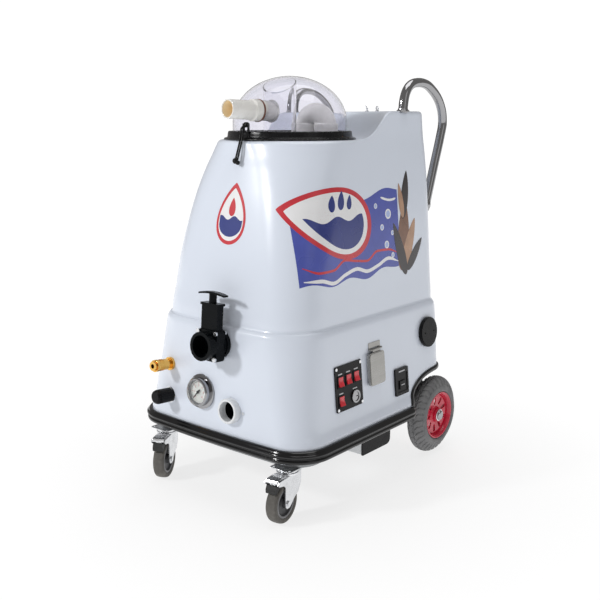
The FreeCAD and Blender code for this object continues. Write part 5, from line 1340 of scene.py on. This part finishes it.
def disc(cx_, cz_, rx, rz=None, n_=40):
    rz = rx if rz is None else rz
    return [(cx_ + rx * math.cos(t_), cz_ + rz * math.sin(t_)) for t_ in np.linspace(0, 2 * math.pi, n_, endpoint=False)]


# side graphic: a blue wave field, drops and brush strokes
top_edge = [(s_, 700.0 + 62.0 * smoothstep(-300, 60, s_) + 5.0 * math.sin(s_ / 26.0)) for s_ in np.linspace(-296, 96, 60)]
bot_edge = [(s_, 552.0 + 14.0 * smoothstep(-60, 90, s_) + 6.0 * math.sin(s_ / 22.0 + 1.0)) for s_ in np.linspace(96, -296, 60)]
decal("side_wave_field", top_edge + bot_edge, V_BLUE, 0, "side")
for i, (z0, amp, w_) in enumerate(((560.0, 9.0, 9.0), (588.0, 10.0, 6.0), (742.0, 7.0, 6.0))):
    pts = [(s_, z0 + (18.0 * smoothstep(-280, 80, s_) if i < 2 else 0.0) + amp * math.sin(s_ / 24.0 + i)) for s_ in
           np.linspace(-284 if i < 2 else 20, 88, 9)]
    decal("side_wave_line_%d" % (i + 1), stroke(pts, [2.0] + [w_] * 7 + [2.0], 90), V_WHITE if i != 1 else V_RED, 1, "side")
for i, (cx_, cz_, r_) in enumerate(((50.0, 700.0, 13.0), (20.0, 668.0, 8.0), (66.0, 650.0, 6.5), (38.0, 622.0, 10.0), (-4.0, 724.0, 7.0),
                                    (64.0, 592.0, 7.0))):
    decal("side_bubble_%d" % (i + 1), disc(cx_, cz_, r_), V_WHITE, 1, "side", step=6.0)
    decal("side_bubble_core_%d" % (i + 1), disc(cx_, cz_, r_ * 0.68), V_SKY, 2, "side", step=6.0)
decal("side_drop_edge", drop(-176.0, 700.0, 200.0, 290.0, -78.0, 90, 6.0), V_RED, 2, "side")
decal("side_drop_white", drop(-175.0, 700.0, 182.0, 266.0, -78.0, 90), V_WHITE, 3, "side")
fill = [(s_, min(z_, 704.0 + 7.0 * math.sin(s_ / 15.0))) for s_, z_ in drop(-165.0, 698.0, 152.0, 214.0, -78.0, 140)]
decal("side_drop_swell", fill, V_NAVY, 4, "side", step=6.0)
for i, (x0_, z0_, h_) in enumerate(((-180.0, 742.0, 40.0), (-146.0, 748.0, 46.0), (-114.0, 742.0, 36.0))):
    decal("side_drop_inner_%d" % (i + 1), drop(x0_, z0_, h_ * 0.66, h_, 12.0, 48), V_NAVY, 4, "side", step=6.0)
# a fan of plain leaves in warm browns
for i, (cx_, cz_, w_, h_, le_, mt) in enumerate((
        (118.0, 640.0, 64.0, 190.0, 8.0, V_BROWN), (142.0, 612.0, 46.0, 150.0, 26.0, V_TAN), (98.0, 604.0, 44.0, 150.0, -20.0, V_DARK),
        (132.0, 744.0, 40.0, 128.0, 14.0, V_DARK), (112.0, 730.0, 26.0, 92.0, -8.0, V_TAN), (168.0, 584.0, 34.0, 110.0, 44.0, V_DARK))):
    decal("side_leaf_%d" % (i + 1), drop(cx_, cz_, w_, h_, le_, 56, 0.0, 0.55), mt, 2 + i * 0.5, "side")

# front badge: a drop over a wave
decal("front_badge_edge", drop(0.0, 714.0, 118.0, 148.0, 0.0, 90, 0.0), V_RED, 0, "front", step=7.0)
decal("front_badge_white", drop(0.0, 712.0, 100.0, 126.0, 0.0, 90, 0.0), V_WHITE, 1, "front", step=7.0)
low = [(s_, 704.0 + 5.0 * math.sin(s_ / 7.0)) for s_ in np.linspace(38, -38, 24)]
arcp = [(38.0 * math.cos(t_), 690.0 + 34.0 * math.sin(t_) * 0.92) for t_ in np.linspace(math.pi, 2 * math.pi, 30)]
decal("front_badge_wave", low + arcp[1:-1], V_NAVY, 2, "front", step=6.0)
decal("front_badge_drop", drop(0.0, 730.0, 26.0, 44.0, 0.0, 40), V_RED, 2, "front", step=5.0)

# ------------------------------------------------------------------ stage, light, camera
fm_ = bpy.data.materials.new("floor_pale")
fm_.use_nodes = True
fnt = fm_.node_tree
fb = fnt.nodes["Principled BSDF"]
fv = coord(fnt)
fnt.links.new(ramp(fnt, noise(fnt, fv, 2.0), [(0.3, (0.90, 0.90, 0.905)), (0.7, (0.92, 0.92, 0.925))]), fb.inputs["Base Color"])
fb.inputs["Roughness"].default_value = 0.7
fb.inputs["Specular IOR Level"].default_value = 0.2
# the studio floor runs into a bright backdrop away from the machine
grad = fnt.nodes.new("ShaderNodeVectorMath")
grad.operation = "LENGTH"
fnt.links.new(fv, grad.inputs[0])
glow = fnt.nodes.new("ShaderNodeEmission")
glow.inputs["Color"].default_value = (1, 1, 1, 1)
glow.inputs["Strength"].default_value = 1.05
fmix = fnt.nodes.new("ShaderNodeMixShader")
fnt.links.new(fit(fnt, grad.outputs["Value"], 0.72, 1.0, 0.35, 1.2), fmix.inputs["Fac"])
fnt.links.new(fb.outputs["BSDF"], fmix.inputs[1])
fnt.links.new(glow.outputs["Emission"], fmix.inputs[2])
fnt.links.new(fmix.outputs["Shader"], fnt.nodes["Material Output"].inputs["Surface"])
N = 96
fv_ = [(0, 0, -0.0004)] + [(40 * math.cos(2 * math.pi * i / N), 40 * math.sin(2 * math.pi * i / N), -0.0004) for i in range(N)]
ff_ = [(0, 1 + i, 1 + (i + 1) % N) for i in range(N)]
make("floor", fv_, ff_, fm_, None, stage=True)

wd = bpy.data.worlds.new("studio")
bpy.context.scene.world = wd
wd.use_nodes = True
nt = wd.node_tree
bg = nt.nodes["Background"]
bg.inputs["Color"].default_value = (1.0, 0.975, 0.95, 1)
bg.inputs["Strength"].default_value = 0.27
bg2 = nt.nodes.new("ShaderNodeBackground")
bg2.inputs["Color"].default_value = (1, 1, 1, 1)
bg2.inputs["Strength"].default_value = 1.05
lp = nt.nodes.new("ShaderNodeLightPath")
mxr = nt.nodes.new("ShaderNodeMath")
mxr.operation = "MAXIMUM"
nt.links.new(lp.outputs["Is Camera Ray"], mxr.inputs[0])
nt.links.new(lp.outputs["Is Transmission Ray"], mxr.inputs[1])
mx = nt.nodes.new("ShaderNodeMixShader")
nt.links.new(mxr.outputs["Value"], mx.inputs["Fac"])
nt.links.new(bg.outputs["Background"], mx.inputs[1])
nt.links.new(bg2.outputs["Background"], mx.inputs[2])
nt.links.new(mx.outputs["Shader"], nt.nodes["World Output"].inputs["Surface"])


def area(name, loc, target, size, power, color=(1, 1, 1)):
    li = bpy.data.lights.new(name, "AREA")
    li.shape = "RECTANGLE"
    li.size, li.size_y = size
    li.energy = power
    li.color = color
    ob = bpy.data.objects.new(name, li)
    bpy.context.scene.collection.objects.link(ob)
    ob.location = loc
    ob.rotation_euler = (Vector(target) - Vector(loc)).to_track_quat("-Z", "Y").to_euler()
    ob.visible_camera = False
    ob.visible_transmission = False
    return ob


area("key", (-1.5, -3.2, 2.3), (0.0, -0.1, 0.55), (0.45, 0.45), 62)
area("fill", (3.4, -0.6, 2.2), (0.0, 0.0, 0.5), (1.4, 2.2), 4)
area("top", (0.2, 0.3, 3.6), (0.0, 0.0, 0.4), (2.4, 2.4), 34)
area("back", (-1.4, 2.8, 2.3), (0.0, 0.0, 0.6), (1.8, 1.8), 24).visible_glossy = False

cam = bpy.data.cameras.new("camera")
cam.sensor_width = 36.0
cam.lens = 863.8 / 600.0 * 36.0
cam.clip_start, cam.clip_end = 0.05, 200
co = bpy.data.objects.new("camera", cam)
bpy.context.scene.collection.objects.link(co)
fw = Vector((-0.6254, 0.7527, -0.2055)).normalized()
rt = Vector((0.769, 0.639, 0.0))
rt = (rt - fw * rt.dot(fw)).normalized()
up = rt.cross(fw)
co.matrix_world = Matrix(((rt.x, up.x, -fw.x, 0), (rt.y, up.y, -fw.y, 0), (rt.z, up.z, -fw.z, 0), (0, 0, 0, 1)))
co.location = Vector(world((1471.1, -1808.9, 940.65)))
bpy.context.scene.camera = co
bpy.context.scene.view_settings.view_transform = "Standard"
bpy.context.scene.view_settings.look = "None"

bpy.context.view_layer.update()
